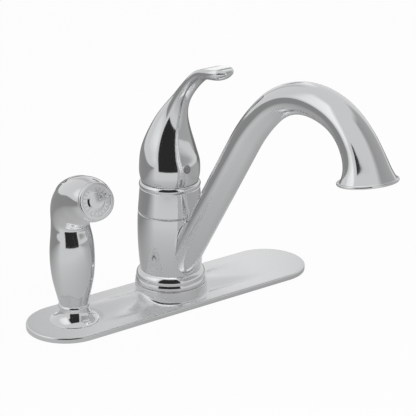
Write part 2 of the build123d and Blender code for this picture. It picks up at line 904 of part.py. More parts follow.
# ======== handle ========
pivot = Vector(0, 0, pivot_height)
front_angle = math.radians(bulb_front_angle)
rear_angle = math.radians(bulb_rear_angle)
front_rim = Vector(0, -math.cos(front_angle), -math.sin(front_angle)) * bulb_radius + pivot
rear_rim = Vector(0, math.cos(rear_angle), -math.sin(rear_angle)) * bulb_radius + pivot
rim_normal = Vector(1, 0, 0).cross(rear_rim - front_rim)
rim_plane = Plane((front_rim + rear_rim) * 0.5, x_dir=(1, 0, 0), z_dir=rim_normal)
round_count = len(handle_sections) - len(paddle_levels)
levels = [1.0] * round_count + paddle_levels
screw_plane = Plane((0, 0, set_screw_height), x_dir=(1, 0, 0), z_dir=(0, -1, 0))
with BuildPart() as handle:
    with Locations(pivot):
        Sphere(bulb_radius)
    split(bisect_by=Plane.XY.offset(pivot_height), keep=Keep.BOTTOM)
    crown = []
    for (reach, height, half_width, half_depth, lean), level in zip(handle_sections, levels):
        across = handle_plane(reach, height, lean)
        crown.append(across.from_local_coords((0, half_depth)))
        with BuildSketch(across):
            with Locations((0, half_depth * (1 - level) / (1 + level))):
                Ellipse(half_width, 2 * half_depth / (1 + level))
    loft()
    # level top of the paddle
    start = crown[round_count - 1] + Vector(0, soft_gap, soft_gap)
    tip = crown[-1] + (crown[-1] - crown[-2]).normalized() * paddle_run_out
    with BuildSketch(Plane.YZ):
        with BuildLine():
            top = Spline(*[(at.Y, at.Z) for at in (start, *crown[round_count:], tip)])
            Polyline(top @ 1, (tip.Y, tip.Z + post_rise), (start.Y, tip.Z + post_rise), top @ 0)
        make_face()
    extrude(amount=bulb_radius, both=True, mode=Mode.SUBTRACT)
    # hollow bulb, open below a slanted rim
    with Locations(pivot):
        Sphere(bulb_radius - bulb_wall, mode=Mode.SUBTRACT)
    split(bisect_by=rim_plane, keep=Keep.TOP)
    # boss for the lever's post, with a pad for the screw
    with BuildSketch(Plane.XY.offset(boss_low)):
        Circle(boss_radius_inside)
    extrude(amount=post_socket_top + boss_crown - boss_low)
    with BuildSketch(screw_plane.offset(screw_pad_reach)):
        Rectangle(2 * screw_pad, 2 * screw_pad)
    extrude(amount=boss_radius_inside - screw_pad_reach + 0.5)
    with BuildSketch(Plane.XY.offset(boss_low)):
        Rectangle(post_size + 2 * run_fit, post_size + 2 * run_fit)
    extrude(amount=post_socket_top - boss_low, mode=Mode.SUBTRACT)
    with BuildSketch(screw_plane):
        Circle(set_screw_radius)
    extrude(amount=set_screw_length * 2, mode=Mode.SUBTRACT)
    with BuildSketch(screw_plane.offset(set_screw_length * 2)):
        Circle(plug_radius)
    extrude(amount=bulb_radius, mode=Mode.SUBTRACT)
save(handle.part, "handle")

with BuildPart() as set_screw:
    with BuildSketch(screw_plane.offset(post_size / 2)):
        Circle(set_screw_radius)
    extrude(amount=set_screw_length)
    with BuildSketch(screw_plane.offset(post_size / 2 + set_screw_length)):
        RegularPolygon(set_screw_key / 2, 6, major_radius=False)
    extrude(amount=-set_screw_key, mode=Mode.SUBTRACT)
save(set_screw.part, "set_screw")

with BuildPart() as plug_button:
    with BuildSketch(screw_plane.offset(bulb_radius + plug_proud - plug_length)):
        Circle(plug_radius)
    extrude(amount=plug_length)
    fillet(plug_button.faces().sort_by(Axis.Y)[0].edges(), plug_proud)
save(plug_button.part, "plug_button")

# ======== spray holder ========
with BuildPart() as spray_holder:
    with BuildSketch(Plane.XZ):
        with BuildLine():
            foot = Polyline(
                (holder_bore, -holder_tail),
                (holder_tail_radius - pilot_step, -holder_tail),
                (holder_tail_radius - pilot_step, holder_pilot - holder_tail),
                (holder_tail_radius, holder_pilot - holder_tail),
                (holder_tail_radius, rim_height),
                (holder_foot_radius, rim_height),
                (holder_foot_radius, rim_height + holder_foot_edge),
            )
            flare = ThreePointArc(foot @ 1, holder_flare, (holder_waist_radius, holder_waist_height))
            bead = ThreePointArc(
                flare @ 1,
                (holder_rim_radius, (holder_waist_height + holder_top) / 2),
                (holder_waist_radius, holder_top),
            )
            Polyline(bead @ 1, (holder_bore, holder_top), (holder_bore, -holder_tail))
        make_face()
    revolve(axis=Axis.Z)
save(spray_holder.part.moved(Location(spray_origin)), "spray_holder")

with BuildPart() as spray_coupling:
    with BuildSketch(Plane(spray_origin + Vector(0, 0, coupling_low))):
        Circle(coupling_radius)
    extrude(amount=spray_low - coupling_low)
    with BuildSketch(Plane(spray_origin + Vector(0, 0, spray_low))):
        Circle(spray_bore - run_fit)
    extrude(amount=coupling_spigot_top - spray_low)
    chamfer(spray_coupling.faces().sort_by(Axis.Z)[-1].edges(), nut_edge)
    with BuildSketch(Plane(spray_origin + Vector(0, 0, coupling_low))):
        Circle(coupling_nipple_radius)
    extrude(amount=-coupling_nipple_length)
    with BuildSketch(Plane(spray_origin + Vector(0, 0, coupling_low - coupling_nipple_length))):
        Circle(coupling_water)
    extrude(amount=coupling_spigot_top - coupling_low + coupling_nipple_length, mode=Mode.SUBTRACT)
save(spray_coupling.part, "spray_coupling")

# ======== spray body ========
pin_centre = spray_point(trigger_pivot_reach, trigger_pivot_height)
pin_plane = Plane(pin_centre, x_dir=forward, z_dir=sideways)
seat_reach, seat_level, seat_size, seat_lean = face_seat
face_plane = spray_plane(seat_reach, seat_level, seat_lean)
plunger_plane = Plane(spray_point(0, plunger_height), x_dir=sideways, z_dir=forward)
pocket_edge = trigger_top_reach + 2 * soft_gap
pocket_low = trigger_low - trigger_press
# the housing's middle line behind the head
spine = [(reach, height) for reach, height, radius, lean in spray_sections[7:9]]
trigger_skin = spray_loft(trigger_proud)
trigger_inside = spray_loft(-trigger_thickness)
pocket_inside = spray_loft(-trigger_sink)

with BuildPart() as trigger_zone:
    with BuildSketch(spray_middle):
        Polygon(
            (-zone_reach, trigger_low),
            (trigger_start, trigger_low),
            *spine,
            (trigger_top_reach, trigger_top_height),
            (trigger_top_reach, zone_height),
            (-zone_reach, zone_height),
            align=None,
        )
    extrude(amount=trigger_half_width, both=True)

with BuildPart() as pocket_zone:
    with BuildSketch(spray_middle):
        Polygon(
            (-zone_reach, pocket_low),
            (trigger_start, pocket_low),
            *spine,
            (pocket_edge, trigger_top_height),
            (pocket_edge, zone_height),
            (-zone_reach, zone_height),
            align=None,
        )
    extrude(amount=trigger_half_width + soft_gap, both=True)

pocket = (spray_loft(3 * trigger_proud) & pocket_zone.part) - pocket_inside
with BuildPart() as spray_body:
    add(spray_loft(0))
    add(pocket, mode=Mode.SUBTRACT)
    with BuildSketch(Plane(spray_origin + Vector(0, 0, spray_low))):
        Circle(spray_bore)
    extrude(amount=spray_bore_top - spray_low, mode=Mode.SUBTRACT)
    with BuildSketch(pin_plane):
        Circle(trigger_pin_radius)
    extrude(amount=trigger_pin_half, both=True, mode=Mode.SUBTRACT)
    with BuildSketch(plunger_plane):
        Circle(plunger_radius + run_fit)
    extrude(amount=plunger_length, both=True, mode=Mode.SUBTRACT)
save(spray_body.part, "spray_body")

with BuildPart() as spray_trigger:
    add((trigger_skin & trigger_zone.part) - trigger_inside)
    with BuildSketch(pin_plane):
        Circle(trigger_boss_radius)
    extrude(amount=trigger_half_width, both=True)
    with BuildSketch(pin_plane):
        Circle(trigger_pin_radius + run_fit)
    extrude(amount=trigger_half_width, both=True, mode=Mode.SUBTRACT)
save(spray_trigger.part, "spray_trigger")

with BuildPart() as trigger_pin:
    with BuildSketch(pin_plane):
        Circle(trigger_pin_radius)
    extrude(amount=trigger_pin_half, both=True)
save(trigger_pin.part, "trigger_pin")

# ======== spray face ========
with BuildPart() as spray_bezel:
    with BuildSketch(face_plane):
        Circle(bezel_radius)
    extrude(amount=bezel_depth)
    fillet(spray_bezel.faces().sort_by(Axis(face_plane.origin, face_plane.z_dir))[-1].edges(), bezel_edge)
    with BuildSketch(face_plane):
        Circle(face_radius + run_fit)
    extrude(amount=bezel_depth, mode=Mode.SUBTRACT)
save(spray_bezel.part, "spray_bezel")

with BuildPart() as spray_face:
    with BuildSketch(face_plane):
        Circle(face_radius)
    extrude(amount=bezel_depth - face_dome)
    with BuildSketch(face_plane.offset(bezel_depth - face_dome)):
        with PolarLocations(jet_ring_radius, jet_count):
            Circle(jet_radius)
    extrude(amount=-jet_depth, mode=Mode.SUBTRACT)
save(spray_face.part, "spray_face")

with BuildPart() as spray_plunger:
    with BuildSketch(plunger_plane.offset(plunger_start)):
        Circle(plunger_radius)
    extrude(amount=plunger_length)
save(spray_plunger.part, "spray_plunger")
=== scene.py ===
"""The looks of a side spray kitchen faucet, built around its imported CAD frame."""

import logging
import math
from contextlib import contextmanager
from dataclasses import dataclass, fields
from enum import Enum
from functools import cached_property
from typing import Any, Callable, Iterator, Sequence

import bpy
import numpy as np
from mathutils import Matrix, Vector


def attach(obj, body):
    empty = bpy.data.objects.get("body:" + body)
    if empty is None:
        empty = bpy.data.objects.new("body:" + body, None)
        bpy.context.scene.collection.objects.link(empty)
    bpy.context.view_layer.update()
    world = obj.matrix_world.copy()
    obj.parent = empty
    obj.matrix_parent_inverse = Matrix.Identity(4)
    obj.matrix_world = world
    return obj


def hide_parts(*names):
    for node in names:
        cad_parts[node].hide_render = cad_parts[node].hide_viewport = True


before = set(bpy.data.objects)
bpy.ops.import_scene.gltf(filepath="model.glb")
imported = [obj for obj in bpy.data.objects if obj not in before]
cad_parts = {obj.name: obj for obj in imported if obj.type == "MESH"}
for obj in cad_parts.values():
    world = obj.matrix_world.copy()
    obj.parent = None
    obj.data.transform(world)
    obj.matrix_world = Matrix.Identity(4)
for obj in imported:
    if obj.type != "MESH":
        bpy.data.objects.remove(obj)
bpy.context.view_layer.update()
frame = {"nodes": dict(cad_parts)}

logging.basicConfig(level=logging.INFO, format="%(name)s: %(message)s")
log = logging.getLogger("faucet")

# Sizes and places are in millimetres unless a name or comment says otherwise.
MM = 0.001
# Vertices closer than this, in metres, are one.
WELD = 2e-6
# Radius at which a round end is closed by one face.
POLE = 0.05
# A Mix node's colour sockets and its colour output, by number.
MIX_FIRST, MIX_SECOND, MIX_RESULT = 6, 7, 2
WHITE = (1.0, 1.0, 1.0, 1.0)
# A ray whose glossy depth is above this has met more than one mirror.
FIRST_MIRROR = 1.5
Piece = bpy.types.Object
Pair = tuple[float, float]
ThreePoints = tuple[Pair, Pair, Pair]
# Gives the place of a ring's point from the point's number.
PointRing = Callable[[int], Vector]


class Body(str, Enum):
    """The bodies that pieces ride on."""

    BASE = "base"
    SPOUT = "spout"
    LEVER = "lever"
    SPRAY = "spray"
    TRIGGER = "trigger"
    HOSE_COUPLING = "hose_coupling"
    PLUNGER = "plunger"


class Slot(str, Enum):
    """The record's material slots."""

    CHROME = "chrome"
    DARK_PLUG = "dark_plug"
    RUBBER = "rubber"
    BRASS = "brass"
    WHITE_PLASTIC = "white_plastic"
    CERAMIC = "ceramic"
    STEEL = "steel"
    NUT_PLASTIC = "nut_plastic"


# ======== curves ========


def point(x: float, y: float, z: float) -> Vector:
    """A place given in millimetres."""
    return Vector((x, y, z)) * MM


def spaced(start: float, end: float, steps: int) -> list[float]:
    """Evenly spaced values, with the start and the end."""
    return [start + (end - start) * k / steps for k in range(steps + 1)]


def arc(start: Pair, via: Pair, end: Pair, steps: int) -> list[Pair]:
    """Points along the circle through three points.

    Args:
        start: Where the arc starts.
        via: A point that it passes.
        end: Where it ends.
        steps: How many chords it is cut into.

    Returns:
        The points, from start to end.
    """
    (ax, ay), (bx, by), (cx, cy) = start, via, end
    turn = 2 * (ax * (by - cy) + bx * (cy - ay) + cx * (ay - by))
    square_a, square_b, square_c = ax * ax + ay * ay, bx * bx + by * by, cx * cx + cy * cy
    ux = (square_a * (by - cy) + square_b * (cy - ay) + square_c * (ay - by)) / turn
    uy = (square_a * (cx - bx) + square_b * (ax - cx) + square_c * (bx - ax)) / turn
    radius = math.hypot(ax - ux, ay - uy)
    first = math.atan2(ay - uy, ax - ux)
    middle = (math.atan2(by - uy, bx - ux) - first) % math.tau
    sweep = (math.atan2(cy - uy, cx - ux) - first) % math.tau
    if middle > sweep:
        sweep -= math.tau
    turns = spaced(first, first + sweep, steps)
    return [(ux + radius * math.cos(a), uy + radius * math.sin(a)) for a in turns]


class Smooth:
    """A natural cubic curve through rows of numbers, spaced by their first columns' chords."""

    def __init__(self, rows: Sequence[Sequence[float]], measure: int = 2) -> None:
        """Fit the curve.

        Args:
            rows: The rows that the curve passes.
            measure: How many leading columns give the distance between rows.
        """
        self.values = np.array(rows, float)
        steps = np.linalg.norm(np.diff(self.values[:, :measure], axis=0), axis=1)
        self.knots = np.concatenate([[0.0], np.cumsum(steps)])
        count = len(rows)
        system = np.eye(count)
        right = np.zeros_like(self.values)
        for k in range(1, count - 1):
            before, after = steps[k - 1], steps[k]
            system[k, k - 1:k + 2] = before, 2 * (before + after), after
            rise = (self.values[k + 1] - self.values[k]) / after
            run = (self.values[k] - self.values[k - 1]) / before
            right[k] = 6 * (rise - run)
        self.second = np.linalg.solve(system, right)

    def at(self, place: float) -> np.ndarray:
        """Find a row of the curve.

        Args:
            place: The row's distance along the curve.

        Returns:
            The row.
        """
        place = min(max(place, 0.0), self.knots[-1])
        k = min(int(np.searchsorted(self.knots, place, "right")) - 1, len(self.knots) - 2)
        width = self.knots[k + 1] - self.knots[k]
        a = (self.knots[k + 1] - place) / width
        b = 1 - a
        bend = (a**3 - a) * self.second[k] + (b**3 - b) * self.second[k + 1]
        return a * self.values[k] + b * self.values[k + 1] + bend * width * width / 6

    def rows(self, spacing: float, start: float = 0.0) -> list[np.ndarray]:
        """Rows at about an even spacing, from a distance along the curve to its end."""
        count = max(2, round((self.knots[-1] - start) / spacing))
        return [self.at(place) for place in spaced(start, self.knots[-1], count)]


# ======== modelling steps ========


def choose(piece: Piece) -> Piece:
    """Select one piece alone and make it active.

    Args:
        piece: The piece to select.

    Returns:
        The piece.
    """
    bpy.ops.object.select_all(action="DESELECT")
    piece.select_set(True)
    bpy.context.view_layer.objects.active = piece
    return piece


@contextmanager
def editing(piece: Piece, everything: bool = True) -> Iterator[None]:
    """Edit mode on one piece.

    Args:
        piece: The piece to edit.
        everything: Whether all of it starts selected.

    Returns:
        Nothing: the body of the with statement runs in edit mode.
    """
    choose(piece)
    bpy.ops.object.mode_set(mode="EDIT")
    bpy.ops.mesh.select_all(action="SELECT" if everything else "DESELECT")
    yield
    bpy.ops.object.mode_set(mode="OBJECT")


def named(piece: Piece, name: str) -> Piece:
    """Give a piece and its mesh one name."""
    piece.name = name
    piece.data.name = name
    return piece


def turn(angle: float, axis: str, centre: Vector) -> None:
    """Turn what is selected about a centre, right-handed about a world axis."""
    bpy.ops.transform.rotate(value=-angle, orient_axis=axis, center_override=centre)


def grow(across: float, deep: float, centre: Vector) -> None:
    """Scale what is selected along X and Y about a centre."""
    bpy.ops.transform.resize(value=(across, deep, 1.0), center_override=centre)


def shift(piece: Piece, offset: Vector) -> Piece:
    """Move a piece's mesh and leave its object at the origin."""
    with editing(piece):
        bpy.ops.transform.translate(value=offset)
    return piece


def tidy(piece: Piece, fill: bool = False) -> Piece:
    """Weld a piece's doubles, close its ends if asked and point its faces outwards."""
    with editing(piece):
        bpy.ops.mesh.remove_doubles(threshold=WELD)
        if fill:
            bpy.ops.mesh.fill_holes(sides=0)
        bpy.ops.mesh.select_all(action="SELECT")
        bpy.ops.mesh.normals_make_consistent(inside=False)
    return piece


def finish(piece: Piece, kind: str, **settings: Any) -> Piece:
    """Add a modifier and apply it.

    Args:
        piece: The piece that gets it.
        kind: The modifier's type.
        **settings: Its settings by name.

    Returns:
        The piece.
    """
    choose(piece)
    step = piece.modifiers.new(kind.title(), kind)
    for key, value in settings.items():
        setattr(step, key, value)
    bpy.ops.object.modifier_apply(modifier=step.name)
    return piece


def soften(piece: Piece, width: float, angle: float) -> Piece:
    """Round the edges that turn by more than an angle, in degrees."""
    return finish(
        piece, "BEVEL", width=width * MM, segments=2, limit_method="ANGLE",
        angle_limit=math.radians(angle), use_clamp_overlap=True,
    )


def shade(piece: Piece, angle: float = 32.0) -> Piece:
    """Shade a piece smooth except across edges sharper than an angle, in degrees."""
    choose(piece)
    bpy.ops.object.shade_smooth_by_angle(angle=math.radians(angle))
    return piece


def settle(piece: Piece) -> Piece:
    """Sort a piece's corners and faces, whose order a boolean leaves to chance."""
    mesh = piece.data
    places = [tuple(vertex.co) for vertex in mesh.vertices]
    order = sorted(range(len(places)), key=places.__getitem__)
    rank = {number: new for new, number in enumerate(order)}
    faces = []
    for polygon in mesh.polygons:
        corners = [rank[number] for number in polygon.vertices]
        first = corners.index(min(corners))
        faces.append(corners[first:] + corners[:first])
    mesh.clear_geometry()
    mesh.from_pydata([places[number] for number in order], [], sorted(faces))
    return piece


def combine(piece: Piece, tool: Piece, operation: str) -> Piece:
    """Apply a boolean with a tool piece, which is then removed."""
    finish(piece, "BOOLEAN", operation=operation, object=tool, solver="EXACT")
    bpy.data.objects.remove(tool)
    return settle(piece)


def join(pieces: Sequence[Piece], name: str) -> Piece:
    """Join pieces into one object.

    Args:
        pieces: The pieces, of which the first takes up the others.
        name: The name of the whole.

    Returns:
        The whole.
    """
    choose(pieces[0])
    for piece in pieces[1:]:
        piece.select_set(True)
    bpy.ops.object.join()
    return named(pieces[0], name)


@dataclass(frozen=True)
class Ring:
    """One section of a loft: its centre, its lean towards -Y in radians and its half sizes."""

    y: float
    z: float
    lean: float
    across: float
    deep: float

    @property
    def centre(self) -> Vector:
        """The ring's centre."""
        return point(0, self.y, self.z)


def loft(name: str, rings: Sequence[Ring], around: int = 96, solid: bool = True) -> Piece:
    """Extrude a circle through its rings: each step is moved, turned upright, scaled and leaned.

    Args:
        name: The piece's name.
        rings: The sections in order.
        around: How many corners the circle has.
        solid: Whether both ends are closed by a face.

    Returns:
        The piece.
    """
    first = rings[0]
    ends = "NGON" if solid else "NOTHING"
    bpy.ops.object.select_all(action="DESELECT")
    bpy.ops.mesh.primitive_circle_add(
        vertices=around, radius=first.across * MM, fill_type=ends, location=(0, 0, 0)
    )
    piece = named(bpy.context.object, name)
    with editing(piece):
        grow(1.0, first.deep / first.across, Vector())
        turn(first.lean, "X", Vector())
        bpy.ops.transform.translate(value=first.centre)
        for last, ring in zip(rings, rings[1:]):
            bpy.ops.mesh.extrude_region_move(TRANSFORM_OT_translate={"value": ring.centre - last.centre})
            if last.lean:
                turn(-last.lean, "X", ring.centre)
            grow(ring.across / last.across, ring.deep / last.deep, ring.centre)
            if ring.lean:
                turn(ring.lean, "X", ring.centre)
    return tidy(piece)


def turned(name: str, profile: Sequence[Pair], around: int = 128, closed: bool = True) -> Piece:
    """Turn a profile about the Z axis by extruding a circle along it.

    Args:
        name: The piece's name.
        profile: Radius and height of each corner, in millimetres.
        around: How many corners the circle has.
        closed: Whether the profile comes back to its first corner.

    Returns:
        The piece.
    """
    corners = list(profile) + [profile[0]] * closed
    return loft(name, [Ring(0.0, z, 0.0, r, r) for r, z in corners], around, solid=not closed)


def skin(name: str, around: int, rings: Sequence[PointRing], fill: bool) -> Piece:
    """Lay a grid over rings of points, one row for each ring, and weld it into a tube.

    Args:
        name: The piece's name.
        around: How many points each ring has.
        rings: The rings in order.
        fill: Whether both ends are closed by a face.

    Returns:
        The piece.
    """
    bpy.ops.object.select_all(action="DESELECT")
    bpy.ops.mesh.primitive_grid_add(
        x_subdivisions=around, y_subdivisions=len(rings) - 1, size=2, location=(0, 0, 0)
    )
    piece = named(bpy.context.object, name)
    for number, vertex in enumerate(piece.data.vertices):
        row, column = divmod(number, around + 1)
        vertex.co = rings[row](column % around)
    return tidy(piece, fill)


def prism(name: str, outline: Sequence[Pair], half_width: float) -> Piece:
    """A flat outline in the plane of Y and Z, given depth along X.

    Args:
        name: The piece's name.
        outline: Reach towards -Y and height of each corner, in millimetres.
        half_width: Half of the depth, in millimetres.

    Returns:
        The piece.
    """
    bpy.ops.object.select_all(action="DESELECT")
    bpy.ops.mesh.primitive_circle_add(
        vertices=len(outline), radius=MM, fill_type="NGON", location=(0, 0, 0)
    )
    piece = named(bpy.context.object, name)
    for vertex, (reach, height) in zip(piece.data.vertices, outline):
        vertex.co = point(-half_width, -reach, height)
    with editing(piece):
        bpy.ops.mesh.extrude_region_move(TRANSFORM_OT_translate={"value": point(2 * half_width, 0, 0)})
    return tidy(piece)


# ======== shader recipes ========


class Value:
    """A shader socket that takes part in sums written in Python."""

    def __init__(self, recipe: "Recipe", socket: bpy.types.NodeSocket) -> None:
        """Wrap a socket of a recipe's tree."""
        self.recipe = recipe
        self.socket = socket

    def _sum(self, operation: str, first: Any, second: Any) -> "Value":
        """A Math node on two values."""
        node = self.recipe.add("ShaderNodeMath", {"operation": operation}, {0: first, 1: second})
        return Value(self.recipe, node.outputs[0])

    def __add__(self, other: Any) -> "Value":
        """Sum."""
        return self._sum("ADD", self, other)

    __radd__ = __add__

    def __sub__(self, other: Any) -> "Value":
        """Difference."""
        return self._sum("SUBTRACT", self, other)

    def __rsub__(self, other: Any) -> "Value":
        """Difference from a number."""
        return self._sum("SUBTRACT", other, self)

    def __mul__(self, other: Any) -> "Value":
        """Product."""
        return self._sum("MULTIPLY", self, other)

    __rmul__ = __mul__

    def above(self, other: Any) -> "Value":
        """One where this is greater, and zero elsewhere."""
        return self._sum("GREATER_THAN", self, other)

    def most(self, other: Any) -> "Value":
        """The greater of two values."""
        return self._sum("MAXIMUM", self, other)

    def least(self, other: Any) -> "Value":
        """The lesser of two values."""
        return self._sum("MINIMUM", self, other)


class Recipe:
    """A node tree that one method fills."""

    def __init__(self, owner: bpy.types.ID) -> None:
        """Start an empty tree.

        Args:
            owner: The material or the world that it belongs to.
        """
        owner.use_nodes = True
        self.owner = owner
        self.tree = owner.node_tree
        self.tree.nodes.clear()

    def add(
        self, kind: str, settings: dict[str, Any] | None = None, sockets: dict[Any, Any] | None = None
    ) -> Any:
        """Add a node.

        Args:
            kind: The node's type.
            settings: Its settings.
            sockets: A value or a link for each input, by name or number.

        Returns:
            The node.
        """
        node = self.tree.nodes.new(kind)
        for key, value in (settings or {}).items():
            setattr(node, key, value)
        for key, value in (sockets or {}).items():
            source = value.socket if isinstance(value, Value) else value
            if isinstance(source, bpy.types.NodeSocket):
                self.tree.links.new(source, node.inputs[key])
            else:
                node.inputs[key].default_value = source
        return node

    def value(
        self, kind: str, output: Any, settings: dict[str, Any] | None = None,
        sockets: dict[Any, Any] | None = None,
    ) -> Value:
        """Add a node and take one of its outputs.

        Args:
            kind: The node's type.
            output: The output's name or number.
            settings: Its settings.
            sockets: Its inputs.

        Returns:
            The output, ready for sums.
        """
        return Value(self, self.add(kind, settings, sockets).outputs[output])

    def noise(self, place: Value, scale: float, detail: float) -> Value:
        """Cloudy values over object coordinates, from 0 to 1."""
        sockets = {"Vector": place, "Scale": scale, "Detail": detail}
        return self.value("ShaderNodeTexNoise", 0, None, sockets)

    def parts(self, vector: Value) -> list[Value]:
        """The three parts of a vector."""
        split = self.add("ShaderNodeSeparateXYZ", None, {0: vector})
        return [Value(self, output) for output in split.outputs]

    def rays(self) -> tuple[Value, Value]:
        """One for rays from the camera, and one for rays from a mirror or through glass."""
        outputs = self.add("ShaderNodeLightPath").outputs
        mirrored = Value(self, outputs["Is Glossy Ray"]).most(Value(self, outputs["Is Transmission Ray"]))
        return Value(self, outputs["Is Camera Ray"]), mirrored

    def second_bounce(self) -> Value:
        """One where a mirror is seen in another mirror, and zero elsewhere."""
        return self.value("ShaderNodeLightPath", "Glossy Depth").above(FIRST_MIRROR)

    def glow(self, strength: Any) -> bpy.types.Node:
        """White light of a strength."""
        return self.add("ShaderNodeEmission", None, {"Color": WHITE, "Strength": strength})

    def blend(self, share: Value, first: bpy.types.Node, second: bpy.types.Node) -> bpy.types.Node:
        """Two shaders mixed by the share of the second."""
        return self.add("ShaderNodeMixShader", None, {0: share, 1: first.outputs[0], 2: second.outputs[0]})

    def close(self, shader: bpy.types.Node, output: str = "ShaderNodeOutputMaterial") -> bpy.types.ID:
        """Send a shader to the tree's output and give its owner back."""
        self.add(output, None, {"Surface": shader.outputs[0]})
        return self.owner


@dataclass(frozen=True)
class Finish:
    """A hard finish whose colour, gloss and grain vary a little over the surface."""

    name: str
    colour: tuple[float, float, float]
    metallic: float = 0.0
    rough: float = 0.4
    rough_spread: float = 0.1
    tint_spread: float = 0.06
    cloud_scale: float = 18.0
    grain_scale: float = 900.0
    grain_depth: float = 0.02
    coat: float = 0.0
    grain_strength: float = 0.3

    def make(self) -> bpy.types.Material:
        """Build the material."""
        recipe = Recipe(bpy.data.materials.new(self.name))
        place = recipe.value("ShaderNodeTexCoord", "Object")
        cloud = recipe.noise(place, self.cloud_scale, 3.0)
        grain = recipe.noise(place, self.grain_scale, 2.0)
        bright = (*self.colour, 1.0)
        dim = (*(c * (1 - self.tint_spread) for c in self.colour), 1.0)
        shares = {"Factor": self.shadow(recipe, place, cloud), MIX_FIRST: bright, MIX_SECOND: dim}
        tint = recipe.add("ShaderNodeMix", {"data_type": "RGBA"}, shares)
        relief = {"Strength": self.grain_strength, "Distance": self.grain_depth * MM, "Height": grain}
        bump = recipe.add("ShaderNodeBump", None, relief)
        shader = recipe.add("ShaderNodeBsdfPrincipled", None, {
            "Base Color": tint.outputs[MIX_RESULT],
            "Metallic": self.metallic,
            "Roughness": self.gloss(recipe, place, cloud),
            "Coat Weight": self.coat,
            "Normal": bump.outputs[0],
        })
        return recipe.close(shader)

    def shadow(self, recipe: Recipe, place: Value, cloud: Value) -> Value:
        """How far the colour leans to its dimmer tint, from 0 to 1."""
        return cloud

    def gloss(self, recipe: Recipe, place: Value, cloud: Value) -> Value:
        """The roughness over the surface."""
        return self.rough - self.rough_spread / 2 + cloud * self.rough_spread


@dataclass(frozen=True)
class Polish(Finish):
    """Polished plating: faint wiping haze and water marks show in the gloss alone."""

    haze_scale: float = 108.0
    haze_stretch: float = 0.35
    mark_scale: float = 260.0
    mark_share: float = 0.3

    def gloss(self, recipe: Recipe, place: Value, cloud: Value) -> Value:
        """The roughness, with a soft haze of wiping marks.

        Args:
            recipe: The material's tree.
            place: Object coordinates.
            cloud: The finish's own cloud, which polish doesn't use.

        Returns:
            The roughness over the surface.
        """
        stretch = {"Vector": place, "Scale": (1.0, 1.0, self.haze_stretch)}
        haze = recipe.noise(recipe.value("ShaderNodeMapping", 0, None, stretch), self.haze_scale, 4.0)
        cells = {"Vector": place, "Scale": self.mark_scale}
        marks = recipe.value("ShaderNodeTexVoronoi", 0, {"feature": "SMOOTH_F1"}, cells)
        spread = self.rough_spread
        return (self.rough + haze * spread + marks * (spread * self.mark_share)).most(0.0)


@dataclass(frozen=True)
class Machined(Finish):
    """Turned metal with fine tool rings along its height."""

    ring_scale: float = 420.0
    ring_wander: float = 0.6
    ring_share: float = 0.5

    def shadow(self, recipe: Recipe, place: Value, cloud: Value) -> Value:
        """The tint follows the tool rings."""
        waves = {"Vector": place, "Scale": self.ring_scale, "Distortion": self.ring_wander}
        rings = recipe.value("ShaderNodeTexWave", 1, {"bands_direction": "Z"}, waves)
        return rings * self.ring_share + cloud * (1 - self.ring_share)


PLATING = (0.56, 0.565, 0.57)


@dataclass(frozen=True)
class Finishes:
    """Every finish of the faucet by its slot, and the plate's softer plating."""

    chrome: Finish = Polish("chrome_plating", PLATING, 1.0, 0.07, 0.03, 0.02, 30.0, 700.0, 0.002)
    dark_plug: Finish = Finish("dark_plug", (0.2, 0.2, 0.205), 0.0, 0.1, 0.05, 0.15, coat=1.0)
    rubber: Finish = Finish("black_rubber", (0.028, 0.028, 0.03), 0.0, 0.72, 0.14, 0.25, 60.0, 1500.0, 0.05)
    brass: Finish = Machined("machined_brass", (0.72, 0.52, 0.24), 1.0, 0.26, 0.1, 0.12)
    white_plastic: Finish = Finish("white_acetal", (0.84, 0.84, 0.83), 0.0, 0.35, 0.1, 0.05)
    ceramic: Finish = Finish("lapped_ceramic", (0.78, 0.77, 0.74), 0.0, 0.16, 0.06, 0.05, coat=0.2)
    steel: Finish = Machined("stainless_steel", (0.56, 0.56, 0.55), 1.0, 0.24, 0.1, 0.08)
    nut_plastic: Finish = Finish("nut_plastic", (0.22, 0.23, 0.24), 0.0, 0.5, 0.12, 0.1, 40.0, 1200.0, 0.04)
    satin: Finish = Polish("soft_chrome_plating", PLATING, 1.0, 0.2, 0.04, 0.02, 30.0, 700.0, 0.002)

    def palette(self) -> dict[str, bpy.types.Material]:
        """Each finish's material by its name here."""
        return {entry.name: getattr(self, entry.name).make() for entry in fields(self)}


class Dresser:
    """Hands pieces their finish, their slot and their body."""

    def __init__(self, palette: dict[str, bpy.types.Material]) -> None:
        """Keep the materials by slot."""
        self.palette = palette

    def wear(self, piece: Piece, slot: Slot, body: Body, *nodes: str, finish: str = "") -> None:
        """Finish a new piece and let it stand for CAD nodes.

        Args:
            piece: The piece.
            slot: Its material slot.
            body: The body it rides on.
            nodes: The CAD nodes that it replaces.
            finish: The finish, where it isn't the slot's own.
        """
        piece.data.materials.clear()
        piece.data.materials.append(self.palette[finish or slot.value])
        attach(piece, body.value)
        if nodes:
            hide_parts(*nodes)
        count = len(piece.data.polygons)
        log.info("%s: %d faces, %s, rides on %s", piece.name, count, slot.value, body.value)

    def frame_nodes(self, nodes: dict[str, Piece]) -> None:
        """Put the detailed finishes on the slots of the CAD nodes, which are given by name."""
        for name, node in nodes.items():
            for holder in node.material_slots:
                key = holder.material.name.split(".")[0] if holder.material else ""
                if key in self.palette:
                    holder.material = self.palette[key]
                else:
                    log.info("%s keeps its material %s", name, key)


# ======== deck plate ========


